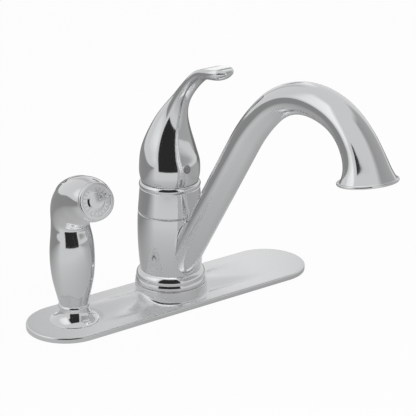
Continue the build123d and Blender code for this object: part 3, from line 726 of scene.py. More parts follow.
@dataclass
class DeckPlate:
    """The long plate that covers the three sink holes, with its raised fairing and hub seat."""

    length: float = 288.0
    width: float = 73.0
    rim: float = 4.8
    rim_round: float = 1.5
    # The hipped rise: its foot, its ridge and their heights.
    rise_length: float = 205.4
    rise_width: float = 50.8
    ridge_length: float = 41.6
    ridge_width: float = 1.0
    rise_low: float = 2.8
    ridge_height: float = 11.7
    # The round seat that the hub stands on, and the recess inside it.
    seat_radius: float = 31.9
    seat_height: float = 16.4
    seat_wall: float = 3.4
    seat_round: float = 0.7
    ledge: float = 8.0
    foot_round: float = 2.0
    wall: float = 2.0
    gasket: float = 2.0
    shank_hole: float = 15.4
    spray_hole: float = 14.0
    # The rise fades out around the spray's flat seat.
    spray_x: float = -101.6
    spray_seat: float = 21.7
    seat_fade: float = 3.0
    bore_edge: float = 0.3
    under_edge: float = 0.25
    drill_heights: Pair = (-5.0, 20.0)
    drill_around: int = 64
    # The mesh: points around, rings from seat to rim and how they gather at the seat.
    around: int = 480
    spread: int = 80
    gather: float = 1.5
    corner_steps: int = 4
    # Heights over which the rise's foot and its ridge are rounded.
    crease: float = 1.4
    ridge_crease: float = 3.0

    def height(self, x: float, y: float) -> float:
        """Find the height of the top: the rim's level, the hipped rise and the fillet at the seat.

        Args:
            x: The place along the plate.
            y: The place across it.

        Returns:
            The height of the top surface there.
        """
        fall_y = (self.ridge_height - self.rise_low) / ((self.rise_width - self.ridge_width) / 2)
        fall_x = (self.ridge_height - self.rise_low) / ((self.rise_length - self.ridge_length) / 2)
        side = self.rise_low + (self.rise_width / 2 - math.sqrt(y * y + self.ridge_width**2)) * fall_y
        end = self.rise_low + (self.rise_length / 2 - abs(x)) * fall_x
        roof = -self.round_max(-side, -end, self.ridge_crease)
        top = self.round_max(self.rim, roof, self.crease)
        beyond = (math.hypot(x - self.spray_x, y) - self.spray_seat) / self.seat_fade
        top = self.rim + (top - self.rim) * min(max(beyond, 0.0), 1.0)
        gap = max(0.0, self.foot_round - (math.hypot(x, y) - self.seat_radius))
        gap = min(gap, self.foot_round)
        return top + self.foot_round - math.sqrt(self.foot_round**2 - gap**2)

    @staticmethod
    def round_max(a: float, b: float, radius: float) -> float:
        """The greater of two heights, with the crease between them rounded."""
        near = max(radius - abs(a - b), 0.0) / radius
        return max(a, b) + near * near * radius / 4

    def rim_point(self, number: int, inset: float) -> Pair:
        """A point on the slot-shaped outline, moved inwards.

        Args:
            number: The point's number around the outline.
            inset: How far it moves in, in millimetres.

        Returns:
            Its X and Y.
        """
        radius = self.width / 2
        straight = self.length - self.width
        total = 2 * straight + math.tau * radius
        place = (number / self.around * total + straight / 2) % total
        for side in (1.0, -1.0):
            if place < straight:
                return side * (place - straight / 2), -side * (radius - inset)
            place -= straight
            if place < math.pi * radius:
                angle = place / radius - math.pi / 2
                reach = radius - inset
                return side * (straight / 2 + reach * math.cos(angle)), side * reach * math.sin(angle)
            place -= math.pi * radius
        return straight / -2, -(radius - inset)

    def circle_point(self, number: int, radius: float) -> Pair:
        """The point of a circle about the hub's axis that faces a point of the outline."""
        x, y = self.rim_point(number, self.rim_round)
        size = math.hypot(x, y)
        return x / size * radius, y / size * radius

    def round_ring(self, radius: float, height: float) -> PointRing:
        """A ring of points on a circle."""
        return lambda i: point(*self.circle_point(i, radius), height)

    def rim_ring(self, inset: float, height: float) -> PointRing:
        """A ring of points on the outline."""
        return lambda i: point(*self.rim_point(i, inset), height)

    def top_ring(self, share: float) -> PointRing:
        """A ring of points on the top, part of the way from the seat to the rim."""

        def place(number: int) -> Vector:
            """Find one point, at the height of the top surface.

            Args:
                number: The point's number around the outline.

            Returns:
                Its place.
            """
            ax, ay = self.circle_point(number, self.seat_radius)
            bx, by = self.rim_point(number, self.rim_round)
            x, y = ax + (bx - ax) * share, ay + (by - ay) * share
            return point(x, y, self.height(x, y))

        return place

    def build(self) -> Piece:
        """Build the plate as one skin from the seat's recess over the top to the underside."""
        bore = self.seat_radius - self.seat_wall
        corners = spaced(0.0, math.pi / 2, self.corner_steps)
        seat = [(self.shank_hole, self.gasket), (self.shank_hole, self.ledge), (bore, self.ledge)]
        seat += [(bore, self.seat_height - self.bore_edge), (bore + self.bore_edge, self.seat_height)]
        for angle in corners:
            radius = self.seat_radius - self.seat_round * (1 - math.sin(angle))
            seat.append((radius, self.seat_height - self.seat_round * (1 - math.cos(angle))))
        rim = []
        for angle in corners[1:]:
            inset = self.rim_round * (1 - math.sin(angle))
            rim.append((inset, self.rim - self.rim_round * (1 - math.cos(angle))))
        rim += [(0.0, self.under_edge), (self.under_edge, 0.0), (self.wall, 0.0), (self.wall, self.gasket)]
        rings = [self.round_ring(radius, height) for radius, height in seat]
        rings += [self.top_ring(share**self.gather) for share in spaced(0.0, 1.0, self.spread)]
        rings += [self.rim_ring(inset, height) for inset, height in rim]
        rings.append(self.round_ring(self.shank_hole, self.gasket))
        plate = skin("deck_plate_visual", self.around, rings, False)
        hole = [(self.spray_hole, height) for height in self.drill_heights]
        drill = turned("spray_drill", hole, self.drill_around, closed=False)
        combine(plate, shift(drill, point(self.spray_x, 0, 0)), "DIFFERENCE")
        return shade(plate)

    def dress(self, dresser: Dresser) -> None:
        """Build the plate and give it its chrome."""
        dresser.wear(self.build(), Slot.CHROME, Body.BASE, "deck_plate", finish="satin")


# ======== spout ========


@dataclass
class Spout:
    """The turning hub, the arched tube and its bell, with the recess that the aerator sits in."""

    # The middle line: its start, its rise in degrees, its straight run and each bend's radius and angle.
    start_y: float = -10.0
    start_z: float = 27.9
    rise: float = 56.1
    straight: float = 172.0
    bends: tuple[Pair, ...] = ((180.0, 15.3), (83.0, 56.2), (55.3, 64.8))
    # The tube's root, from a ring inside the hub to the ring where the plain tube begins.
    root_radius: float = 13.3
    root_start: float = 16.0
    root_end: float = 80.0
    root_tuck: float = 1.5
    root_steps: int = 10
    farthest_root: float = 90.0
    halvings: int = 40
    # Radii at even steps along the bends, then along the bell.
    tube_radii: tuple[float, ...] = (12.9, 12.5, 12.5, 13.4, 14.5)
    bell_radii: tuple[float, ...] = (14.5, 14.85, 15.2, 15.7, 16.35, 17.2, 18.3, 19.9, 22.1)
    bell_step: float = 4.0
    straight_steps: int = 12
    bend_steps: int = 110
    # The bell's rolled lip, its mouth, and the throat and recess behind it.
    lip: float = 1.3
    lip_steps: int = 12
    mouth: float = 20.2
    mouth_proud: float = 0.3
    mouth_round: float = 0.8
    throat: float = 14.0
    throat_round: Pair = (0.3, 0.2)
    throat_depth: float = 6.0
    recess: float = 12.05
    recess_depth: float = 15.5
    recess_end: float = 2.0
    # The hub from its foot over the bead and the belly to the seam under the collar.
    foot_radius: float = 31.5
    foot_edge: float = 0.3
    foot_top: float = 19.3
    foot_shoulder: Pair = (31.42, 19.7)
    bead: ThreePoints = ((30.6, 21.4), (29.7, 26.4), (27.0, 28.6))
    belly_arc: ThreePoints = ((27.0, 28.6), (28.7, 52.0), (28.3, 82.4))
    hub_low: float = 17.0
    hub_top: float = 82.4
    belly_drop: float = 0.75
    seam_radius: float = 27.3
    seam_inside: float = 26.0
    seam_drop: float = 0.1
    seam_step: float = 0.35
    hub_bore: float = 20.55
    drill_play: float = 0.02
    drill_heights: Pair = (5.0, 95.0)
    # The blend between tube and hub: its size, and the farthest that it may reach.
    blend: float = 3.4
    blend_limit: float = 3.0
    blend_steps: int = 8
    belly_steps: int = 40
    bead_steps: int = 14
    around: int = 96
    hub_around: int = 192
    crease_angle: float = 30.0

    @cached_property
    def belly(self) -> list[Pair]:
        """The hub's belly, which the tube leaves."""
        return arc(*self.belly_arc, self.belly_steps)

    def hub_profile(self) -> list[Pair]:
        """Radius and height of the hub's corners."""
        wide, low, top = self.foot_radius, self.hub_low, self.hub_top
        foot = [(wide - self.foot_edge, low), (wide, low + self.foot_edge)]
        foot += [(wide, self.foot_top), self.foot_shoulder]
        raised = top + self.seam_step
        rim = [(self.belly_arc[-1][0], top - self.belly_drop), (self.seam_radius, top - self.seam_drop)]
        rim += [(self.seam_radius, raised), (self.seam_inside, raised), (self.seam_inside, top)]
        bore = [(self.hub_bore, top), (self.hub_bore, low)]
        return foot + arc(*self.bead, self.bead_steps)[:-1] + self.belly[:-1] + rim + bore

    def hub_radius(self, height: float) -> float:
        """The belly's radius at a height."""
        heights = [z for _, z in self.belly]
        return float(np.interp(height, heights, [r for r, _ in self.belly]))

    def station(self, distance: float) -> tuple[float, float, float]:
        """A place along the tube's middle line.

        Args:
            distance: How far along it, in millimetres.

        Returns:
            Its Y, its Z and the way it heads, as an angle from -Y towards +Z.
        """
        heading = math.radians(self.rise)
        step = min(distance, self.straight)
        y = self.start_y - step * math.cos(heading)
        z = self.start_z + step * math.sin(heading)
        rest = distance - step
        for radius, angle in self.bends:
            if rest <= 0:
                break
            turn_by = min(rest / radius, math.radians(angle))
            y -= radius * (math.sin(heading) - math.sin(heading - turn_by))
            z += radius * (math.cos(heading - turn_by) - math.cos(heading))
            heading -= turn_by
            rest -= radius * turn_by
        return y, z, heading

    @property
    def length(self) -> float:
        """Length of the tube's middle line."""
        return self.straight + sum(r * math.radians(a) for r, a in self.bends)

    def radius_at(self, distance: float) -> float:
        """The tube's radius at a distance along it."""
        if distance <= self.straight:
            return self.root_radius + (self.tube_radii[0] - self.root_radius) * distance / self.straight
        return float(self.bend_radius.at(distance - self.straight)[1])

    @cached_property
    def bend_radius(self) -> Smooth:
        """The radius along the bends and the bell."""
        span = self.length - self.straight - self.bell_step * (len(self.bell_radii) - 1)
        rows = list(zip(spaced(0.0, span, len(self.tube_radii) - 1), self.tube_radii))
        rows += [(span + self.bell_step * k, r) for k, r in enumerate(self.bell_radii) if k]
        return Smooth(rows, 1)

    def ring(self, distance: float, radius: float, ahead: float = 0.0) -> Ring:
        """Set a ring across the tube.

        Args:
            distance: How far along the tube it stands.
            radius: Its radius.
            ahead: How far it is moved on along the tube's heading.

        Returns:
            The ring.
        """
        y, z, heading = self.station(distance)
        y -= ahead * math.cos(heading)
        z += ahead * math.sin(heading)
        return Ring(y, z, math.pi / 2 - heading, radius, radius)

    def surface(self, distance: float, number: int) -> Vector:
        """Find a point on the straight tube's surface.

        Args:
            distance: How far along the tube it lies.
            number: Its number around the tube.

        Returns:
            Its place, in millimetres.
        """
        y, z, heading = self.station(distance)
        angle = math.tau * number / self.around
        radius = self.radius_at(distance)
        rise = radius * math.sin(angle)
        return Vector((radius * math.cos(angle), y + rise * math.sin(heading), z + rise * math.cos(heading)))

    def crossing(self, number: int) -> float:
        """Find where a line of the tube's surface meets the hub's belly, by halving.

        Args:
            number: The line's number around the tube.

        Returns:
            How far along the tube that is.
        """
        low, high = 0.0, self.farthest_root
        for _ in range(self.halvings):
            middle = (low + high) / 2
            place = self.surface(middle, number)
            if math.hypot(place.x, place.y) < self.hub_radius(place.z):
                low = middle
            else:
                high = middle
        return low

    def on_hub(self, place: Vector) -> Vector:
        """A point moved onto the belly."""
        size = math.hypot(place.x, place.y)
        radius = self.hub_radius(place.z)
        return Vector((place.x / size * radius, place.y / size * radius, place.z))

    def blend_line(self, number: int) -> tuple[Vector, Vector, Vector]:
        """One line of the blend between tube and hub.

        Args:
            number: The line's number around the tube.

        Returns:
            Its end on the tube, the crossing point and its end on the hub, in millimetres.
        """
        where = self.crossing(number)
        corner = self.on_hub(self.surface(where, number))
        along = (self.surface(where + 1, number) - self.surface(where, number)).normalized()
        wall = Vector((corner.x, corner.y, 0)).normalized()
        beside = [(number + step) % self.around for step in (-1, 1)]
        before, after = (self.on_hub(self.surface(self.crossing(k), k)) for k in beside)
        seam = (after - before).normalized()
        away = wall.cross(seam).normalized()
        y, z, _ = self.station(where)
        if away.dot(corner - Vector((0, y, z))) < 0:
            away = -away
        half = math.acos(max(-1.0, min(1.0, along.dot(away)))) / 2
        reach = min(self.blend / math.tan(half), self.blend_limit)
        return self.surface(where + reach, number), corner, self.on_hub(corner + away * reach)

    def root(self) -> Piece:
        """The tube's root, from inside the hub through its blend to a plain ring."""
        lines = [self.blend_line(k) for k in range(self.around)]

        def start(number: int) -> Vector:
            """A point of the tube inside the hub."""
            return self.surface(self.root_start, number) * MM

        def tucked(number: int) -> Vector:
            """The blend's end on the hub, tucked under the hub's wall."""
            foot = lines[number][2]
            return (foot - Vector((foot.x, foot.y, 0)).normalized() * self.root_tuck) * MM

        def blended(t: float) -> PointRing:
            """A ring part of the way from the hub to the tube, which leaves both surfaces smoothly."""

            def place(number: int) -> Vector:
                """One point of the ring, from its number around the tube."""
                top, corner, foot = lines[number]
                return (foot * (1 - t) ** 2 + corner * (2 * t * (1 - t)) + top * t * t) * MM

            return place

        def outwards(share: float) -> PointRing:
            """A ring of points between the blend and the plain ring."""
            return lambda i: lines[i][0].lerp(self.surface(self.root_end, i), share) * MM

        rings = [start, tucked] + [blended(t) for t in spaced(0.0, 1.0, self.blend_steps)]
        rings += [outwards(share) for share in spaced(0.0, 1.0, self.root_steps)[1:]]
        return skin("spout_root", self.around, rings, True)

    def tube(self) -> Piece:
        """The tube from the root's plain ring to the bell's rim, lip, mouth and recess."""
        places = spaced(self.root_end, self.straight, self.straight_steps)[:-1]
        places += spaced(self.straight, self.length, self.bend_steps)
        rings = [self.ring(place, self.radius_at(place)) for place in places]
        rim = self.bell_radii[-1]
        for angle in spaced(-math.pi / 2, math.pi / 2, self.lip_steps)[1:]:
            rings.append(self.ring(self.length, rim + self.lip * math.cos(angle), self.lip * math.sin(angle)))
        across, along = self.throat_round
        inner = [(self.mouth, self.mouth_proud), (self.mouth - self.mouth_round, -self.mouth_round)]
        inner += [(self.throat + across, along - self.throat_depth), (self.throat, -self.throat_depth)]
        inner += [(self.recess, -self.throat_depth), (self.recess, -self.recess_depth)]
        inner += [(self.recess_end, -self.recess_depth)]
        rings += [self.ring(self.length, radius, ahead) for radius, ahead in inner]
        return loft("spout_tube", rings, self.around)

    def build(self) -> Piece:
        """Build hub, root and tube and join them."""
        root, tube = self.root(), self.tube()
        self.open_end(tube)
        self.open_end(root)
        body = tidy(join([root, tube], "spout_visual"))
        bore = [(self.hub_bore - self.drill_play, height) for height in self.drill_heights]
        combine(body, turned("hub_drill", bore, self.around, closed=False), "DIFFERENCE")
        hub = turned("hub", self.hub_profile(), self.hub_around)
        return shade(join([body, hub], "spout_visual"), self.crease_angle)

    def open_end(self, piece: Piece) -> None:
        """Delete the end face where root and tube meet.

        Args:
            piece: The root or the tube.
        """
        y, z, _ = self.station(self.root_end)
        with editing(piece, everything=False):
            bpy.ops.mesh.select_mode(type="FACE")
        for face in piece.data.polygons:
            near = (face.center - point(0, y, z)).length < self.root_radius * MM / 2
            face.select = near and len(face.vertices) > 4
        bpy.ops.object.mode_set(mode="EDIT")
        bpy.ops.mesh.delete(type="FACE")
        bpy.ops.mesh.select_mode(type="VERT")
        bpy.ops.object.mode_set(mode="OBJECT")

    def dress(self, dresser: Dresser) -> None:
        """Build the spout and give it its chrome."""
        dresser.wear(self.build(), Slot.CHROME, Body.SPOUT, "spout")


# ======== collar ========


@dataclass
class Collar:
    """The tapered collar with its rolled top ring, as radius and height of its corners."""

    bottom: Pair = (28.2, 83.1)
    bottom_edge: Pair = (0.3, 0.35)
    top: Pair = (26.4, 104.2)
    roll: ThreePoints = ((26.0, 104.6), (26.95, 106.9), (25.4, 110.0))
    opening: float = 25.0
    bore: float = 23.65
    ledge: float = 98.8
    roll_steps: int = 16
    around: int = 192

    def dress(self, dresser: Dresser) -> None:
        """Turn the collar and give it its chrome.

        Args:
            dresser: Hands out the finish.
        """
        (radius, low), (across, up), high = self.bottom, self.bottom_edge, self.roll[-1][1]
        wall = [(radius - across, low), (radius, low + up), self.top]
        inside = [(self.opening, high), (self.opening, self.ledge), (self.bore, self.ledge), (self.bore, low)]
        profile = wall + arc(*self.roll, self.roll_steps) + inside
        piece = turned("collar_visual", profile, self.around)
        dresser.wear(shade(piece), Slot.CHROME, Body.BASE, "collar")


# ======== handle ========


@dataclass
class Handle:
    """The bulb, its neck and the paddle, with the plug over the set screw."""

    radius: float = 26.6
    wall: float = 2.6
    pivot: float = 120.0
    front_angle: float = 47.0
    rear_angle: float = 24.0
    around: int = 144
    # Reach, height over the pivot, half width, half thickness, lean in degrees and level of the top.
    sections: tuple[tuple[float, ...], ...] = (
        (0.0, -8.0, 26.3, 26.2, 0.0, 1.5),
        (0.0, 0.0, 26.6, 26.6, 0.0, 1.5),
        (0.0, 8.0, 26.3, 26.2, 0.0, 1.5),
        (-0.8, 15.8, 24.9, 24.6, 2.0, 1.45),
        (-0.2, 25.1, 22.3, 21.7, 6.0, 1.4),
        (1.9, 35.0, 18.7, 18.2, 13.0, 1.3),
        (5.2, 45.0, 14.8, 14.7, 22.0, 1.2),
        (10.5, 55.8, 10.8, 10.8, 32.0, 1.1),
        (18.5, 67.9, 8.6, 6.9, 38.0, 1.0),
        (29.8, 80.0, 8.5, 5.0, 45.0, 0.85),
        (42.8, 90.7, 9.6, 4.0, 56.0, 0.6),
        (55.4, 97.6, 10.7, 4.6, 69.0, 0.5),
        (68.0, 100.2, 11.3, 5.1, 75.0, 0.5),
        (77.0, 102.0, 10.0, 4.6, 75.0, 0.5),
        (81.5, 103.5, 7.4, 3.4, 75.0, 0.6),
        (84.6, 104.4, 4.6, 2.1, 75.0, 0.8),
    )
    # How a ring's points spread over the level top and its edges, in degrees.
    steepest: float = 80.0
    line_spread: float = 70.0
    crown_half: float = 45.0
    row_spacing: float = 1.6
    # Share of the last section's size, and how far ahead of it, of each ring that closes the tip.
    tip: tuple[Pair, ...] = ((0.85, 0.35), (0.6, 0.7), (0.3, 0.9), (0.05, 0.95))
    # Rings of the cavity's roof, of the inner bowl and of the outer one, and the rim's rounding.
    dome_steps: int = 12
    inner_steps: int = 8
    outer_steps: int = 14
    rim_edge: tuple[Pair, ...] = ((1.0, 0.5), (0.99, 0.12))
    edge_round: float = 0.45
    edge_angle: float = 36.0
    crease_angle: float = 40.0
    screw_height: float = 126.4
    plug_radius: float = 3.4
    plug_proud: float = 0.5
    plug_length: float = 3.2
    plug_round: float = 0.9
    plug_turns: tuple[float, ...] = (0.5, 1.0, 1.4)
    plug_around: int = 48
    # Share of the radius and rise of the plug's crown.
    plug_crown: Pair = (0.4, 0.02)
    plug_gap: float = 0.25
    plug_hole: Pair = (6.0, 3.0)

    def rim(self) -> tuple[Vector, float]:
        """The rim's plane.

        Returns:
            Its downward normal, and its distance from the bulb's centre in millimetres.
        """
        front, rear = math.radians(self.front_angle), math.radians(self.rear_angle)
        a = Vector((0, -math.cos(front), -math.sin(front))) * self.radius
        b = Vector((0, math.cos(rear), -math.sin(rear))) * self.radius
        along = (b - a).normalized()
        normal = Vector((0, along.z, -along.y))
        return normal, a.dot(normal)

    def bowl(self, share: float, radius: float) -> PointRing:
        """A ring of the round bowl, between its widest line and its slanted rim.

        Args:
            share: 0 at the widest line and 1 at the rim.
            radius: The bowl's radius, in millimetres.

        Returns:
            The ring.
        """
        normal, distance = self.rim()
        tilt = math.atan2(normal.y, -normal.z) * share
        down = Vector((0, math.sin(tilt), -math.cos(tilt)))
        side = Vector((0, math.cos(tilt), math.sin(tilt)))
        depth = distance * share
        wide = math.sqrt(radius**2 - depth**2)

        def place(number: int) -> Vector:
            """One point of the ring, from its number."""
            angle = math.tau * number / self.around
            offset = Vector((math.cos(angle), 0, 0)) * wide + side * (math.sin(angle) * wide)
            return (Vector((0, 0, self.pivot)) + down * depth + offset) * MM

        return place

    def dome(self, angle: float, radius: float) -> PointRing:
        """A ring of the round cavity's roof, at an angle from its top in radians."""
        wide, height = radius * math.sin(angle), self.pivot + radius * math.cos(angle)

        def place(number: int) -> Vector:
            """One point of the ring, from its number."""
            around = math.tau * number / self.around
            return point(wide * math.cos(around), wide * math.sin(around), height)

        return place

    def section(self, row: np.ndarray) -> PointRing:
        """A ring across the neck or the paddle.

        Args:
            row: Reach, height over the pivot, half width, half thickness, lean and the share of the
                half thickness at which the level top cuts it. Above 1 nothing is cut.

        Returns:
            The ring, with a line of points on each edge of the level top.
        """
        reach, height, half_width, half_depth, lean, level = row
        tilt = math.radians(lean)
        side = Vector((0, math.cos(tilt), math.sin(tilt)))
        cut = min(level, 1.0)
        deep = 2 * half_depth / (1 + cut)
        rise = half_depth * (1 - cut) / (1 + cut)
        corner = min(math.degrees(math.asin(cut)), self.steepest) - max(level - 1.0, 0.0) * self.line_spread
        half = self.crown_half

        def place(number: int) -> Vector:
            """Find one point: those about the crown spread over the level top, the others below it.

            Args:
                number: The point's number around the ring.

            Returns:
                Its place.
            """
            angle = (360 * number / self.around + half) % 360 - half
            if 90 - half < angle < 90 + half:
                angle = 90 + (angle - 90) * (90 - corner) / half
            else:
                below = (angle - 90 - half) % 360 / (360 - 2 * half)
                angle = 180 - corner + below * (180 + 2 * corner)
            across = half_width * math.cos(math.radians(angle))
            up = min(rise + deep * math.sin(math.radians(angle)), half_depth)
            return (Vector((across, -reach, self.pivot + height)) + side * up) * MM

        return place

    def build(self) -> Piece:
        """Build the shell as one skin, from the inner bowl over the rim to the paddle's tip."""
        inner = self.radius - self.wall
        rings = [self.dome(angle, inner) for angle in spaced(0.0, math.pi / 2, self.dome_steps)[1:-1]]
        rings += [self.bowl(share, inner) for share in spaced(0.0, 1.0, self.inner_steps)]
        rings += [self.bowl(share, self.radius - inset) for share, inset in self.rim_edge]
        rings += [self.bowl(share, self.radius) for share in spaced(1.0, 0.0, self.outer_steps)[1:-1]]
        curve = Smooth(self.sections, 2)
        rows = curve.rows(self.row_spacing, float(curve.knots[1]))
        rings += [self.section(row) for row in rows]
        lean = math.radians(rows[-1][4])
        for share, ahead in self.tip:
            row = rows[-1].copy()
            row[:2] += ahead * math.sin(lean), ahead * math.cos(lean)
            row[2:4] *= share
            rings.append(self.section(row))
        shell = soften(skin("handle_visual", self.around, rings, True), self.edge_round, self.edge_angle)
        drill = self.button("plug_drill", self.plug_radius + self.plug_gap, *self.plug_hole)
        return shade(combine(shell, drill, "DIFFERENCE"), self.crease_angle)

    def button(self, name: str, radius: float, length: float, proud: float) -> Piece:
        """A short rod along Y in the bulb's front, with a rounded face.

        Args:
            name: Its name.
            radius: Its radius, in millimetres.
            length: How deep it reaches into the bulb.
            proud: How far it stands out of the bulb.

        Returns:
            The piece.
        """
        edge = proud - self.plug_round
        share, rise = self.plug_crown
        steps = [(radius, -length), (radius, edge)]
        for angle in self.plug_turns:
            across = radius - self.plug_round * (1 - math.cos(angle))
            steps.append((across, edge + self.plug_round * math.sin(angle)))
        steps += [(radius * share, proud + rise), (POLE, proud + rise * 1.5)]
        rings = [Ring(-self.radius - ahead, self.screw_height, math.pi / 2, r, r) for r, ahead in steps]
        return loft(name, rings, self.plug_around)

    def dress(self, dresser: Dresser) -> None:
        """Build the shell and the plug and finish them.

        Args:
            dresser: Hands out the finishes.
        """
        dresser.wear(self.build(), Slot.CHROME, Body.LEVER, "handle")
        depth = self.plug_length - self.plug_proud
        plug = shade(self.button("plug_visual", self.plug_radius, depth, self.plug_proud))
        dresser.wear(plug, Slot.DARK_PLUG, Body.LEVER, "plug_button")


# ======== side spray ========


@dataclass
class SideSpray:
    """The side spray: its flared holder, housing, bezel, face and trigger, and the works inside."""

    x: float = -101.6
    heading: float = 7.0
    shank: tuple[Pair, ...] = ((13.6, -34.0), (13.6, 4.8))
    foot: tuple[Pair, ...] = ((21.2, 4.8), (21.4, 5.0), (21.4, 5.4), (21.2, 5.7))
    flare: ThreePoints = ((21.0, 5.75), (15.4, 9.4), (12.4, 16.6))
    bead: ThreePoints = ((12.4, 16.6), (13.5, 18.4), (12.4, 20.2))
    bore: float = 10.4
    flare_steps: int = 18
    bead_steps: int = 12
    holder_around: int = 128
    around: int = 96
    crease_angle: float = 30.0
    # Reach, height, radius and lean in degrees.
    sections: tuple[tuple[float, float, float, float], ...] = (
        (0.0, 20.5, 12.6, 0.0),
        (0.0, 31.0, 15.1, 0.0),
        (0.0, 43.0, 17.6, 0.0),
        (0.0, 58.0, 19.0, 0.0),
        (0.0, 72.0, 18.8, 0.0),
        (-0.4, 83.4, 17.5, 1.0),
        (-1.6, 93.5, 16.4, 10.0),
        (2.4, 104.8, 18.3, 31.0),
        (10.5, 114.6, 19.6, 50.0),
        (21.5, 120.4, 19.8, 64.0),
        (32.0, 124.4, 19.0, 72.0),
        (40.4, 126.3, 18.3, 74.0),
        (46.1, 127.3, 17.2, 74.0),
        (49.7, 128.1, 16.0, 72.0),
    )
    trigger_width: float = 11.0
    trigger_proud: float = 0.7
    trigger_wall: float = 3.6
    trigger_sink: float = 9.8
    trigger_low: float = 88.6
    trigger_press: float = 4.5
    trigger_top: float = 15.2
    trigger_round: float = 0.5
    trigger_angle: float = 40.0
    gap: float = 0.3
    # The block that bounds the trigger: its back and heel, its neck's corners, its shoulder and top.
    zone_back: float = -40.0
    zone_heel: float = -2.0
    zone_neck: tuple[Pair, ...] = ((3.0, 105.0), (10.0, 115.0))
    zone_shoulder: float = 119.0
    zone_top: float = 150.0
    end_edge: float = 0.4
    row_spacing: float = 1.8
    pin: Pair = (12.0, 132.6)
    bezel_radius: float = 15.5
    bezel_depth: float = 2.6
    bezel_round: float = 1.2
    bezel_steps: int = 6
    bezel_edge: float = 0.4
    face_radius: float = 12.4
    face_gap: float = 0.05
    face_depth: float = 1.2
    face_edge: float = 0.2
    face_dome: tuple[Pair, ...] = ((7.9, 0.0), (7.5, 0.15), (7.0, 0.6), (6.2, 0.8), (POLE, 0.95))
    # The jets: their number, the ring they stand on and how deep they are drilled.
    jets: int = 20
    jet_ring: float = 9.6
    jet_radius: float = 0.75
    jet_reach: Pair = (-0.9, 0.5)
    jet_around: int = 12
    # The hose coupling, the trigger's pin and the plunger.
    coupling_radius: float = 9.4
    coupling_low: float = -8.0
    spigot_radius: float = 8.55
    spigot_top: float = 34.0
    spigot_edge: float = 1.0
    coupling_around: int = 64
    nipple_radius: float = 5.0
    nipple_low: float = -24.0
    water: float = 3.0
    pin_radius: float = 1.5
    pin_half: float = 13.0
    plunger_radius: float = 2.5
    plunger_height: float = 101.0
    plunger_ends: Pair = (-4.4, 12.6)
    rod_around: int = 32

    def stand(self, piece: Piece) -> Piece:
        """Turn a piece from the middle plane to the spray's heading and move it to its place."""
        with editing(piece):
            turn(-math.radians(self.heading), "Z", Vector())
        return shift(piece, point(self.x, 0, 0))

    def form(self, name: str, extra: float, trim: float = 0.0) -> Piece:
        """The housing's outer form with its radius grown.

        Args:
            name: The piece's name.
            extra: Added to every radius, in millimetres.
            trim: Rounding of the last edge, in millimetres.

        Returns:
            The piece, in the middle plane.
        """
        rows = Smooth(self.sections, 2).rows(self.row_spacing)
        rings = [Ring(-r[0], r[1], math.radians(r[3]), r[2] + extra, r[2] + extra) for r in rows]
        if trim:
            first, last = rings[0], rings[-1]
            rings.insert(0, Ring(first.y, first.z, 0.0, first.across - trim, first.across - trim))
            rings.append(Ring(last.y, last.z, last.lean, last.across - trim, last.across - trim))
        return loft(name, rings, self.around)

    def zone(self, name: str, low: float, edge: float, half_width: float) -> Piece:
        """The block that bounds the trigger or its pocket."""
        outline = [(self.zone_back, low), (self.zone_heel, low), *self.zone_neck, (edge, self.zone_shoulder)]
        outline += [(edge, self.zone_top), (self.zone_back, self.zone_top)]
        return prism(name, outline, half_width)

    def face_ring(self, radius: float, ahead: float) -> Ring:
        """A ring in front of the housing's last section."""
        reach, height, _, lean = self.sections[-1]
        angle = math.radians(lean)
        return Ring(-reach - ahead * math.sin(angle), height + ahead * math.cos(angle), angle, radius, radius)

    def housing(self) -> Piece:
        """The housing with the trigger's pocket in its back."""
        body = self.form("spray_body_visual", 0.0, self.end_edge)
        pocket = self.form("pocket", 3 * self.trigger_proud)
        low, edge = self.trigger_low - self.trigger_press, self.trigger_top + 2 * self.gap
        zone = self.zone("pocket_zone", low, edge, self.trigger_width + self.gap)
        combine(pocket, zone, "INTERSECT")
        combine(pocket, self.form("pocket_inside", -self.trigger_sink), "DIFFERENCE")
        combine(body, pocket, "DIFFERENCE")
        return self.stand(shade(body, self.crease_angle))

    def trigger(self) -> Piece:
        """The trigger, a slice of the housing's form that stands a little proud."""
        blade = self.form("spray_trigger_visual", self.trigger_proud)
        zone = self.zone("trigger_zone", self.trigger_low, self.trigger_top, self.trigger_width)
        combine(blade, zone, "INTERSECT")
        combine(blade, self.form("trigger_inside", -self.trigger_wall), "DIFFERENCE")
        soften(blade, self.trigger_round, self.trigger_angle)
        return self.stand(shade(blade, self.crease_angle))

    def bezel(self) -> Piece:
        """The rounded ring around the spray's face."""
        inside, edge = self.face_radius + self.face_gap, self.bezel_round
        outline = [(inside, 0.0), (self.bezel_radius, 0.0), (self.bezel_radius, self.bezel_depth - edge)]
        for angle in spaced(0.0, math.pi / 2, self.bezel_steps)[1:]:
            radius = self.bezel_radius - edge * (1 - math.cos(angle))
            outline.append((radius, self.bezel_depth - edge * (1 - math.sin(angle))))
        outline.append((inside + self.bezel_edge, self.bezel_depth))
        outline.append((inside, self.bezel_depth - self.bezel_edge))
        rings = [self.face_ring(r, h) for r, h in outline + outline[:1]]
        return self.stand(shade(loft("spray_bezel_visual", rings, self.around, solid=False)))

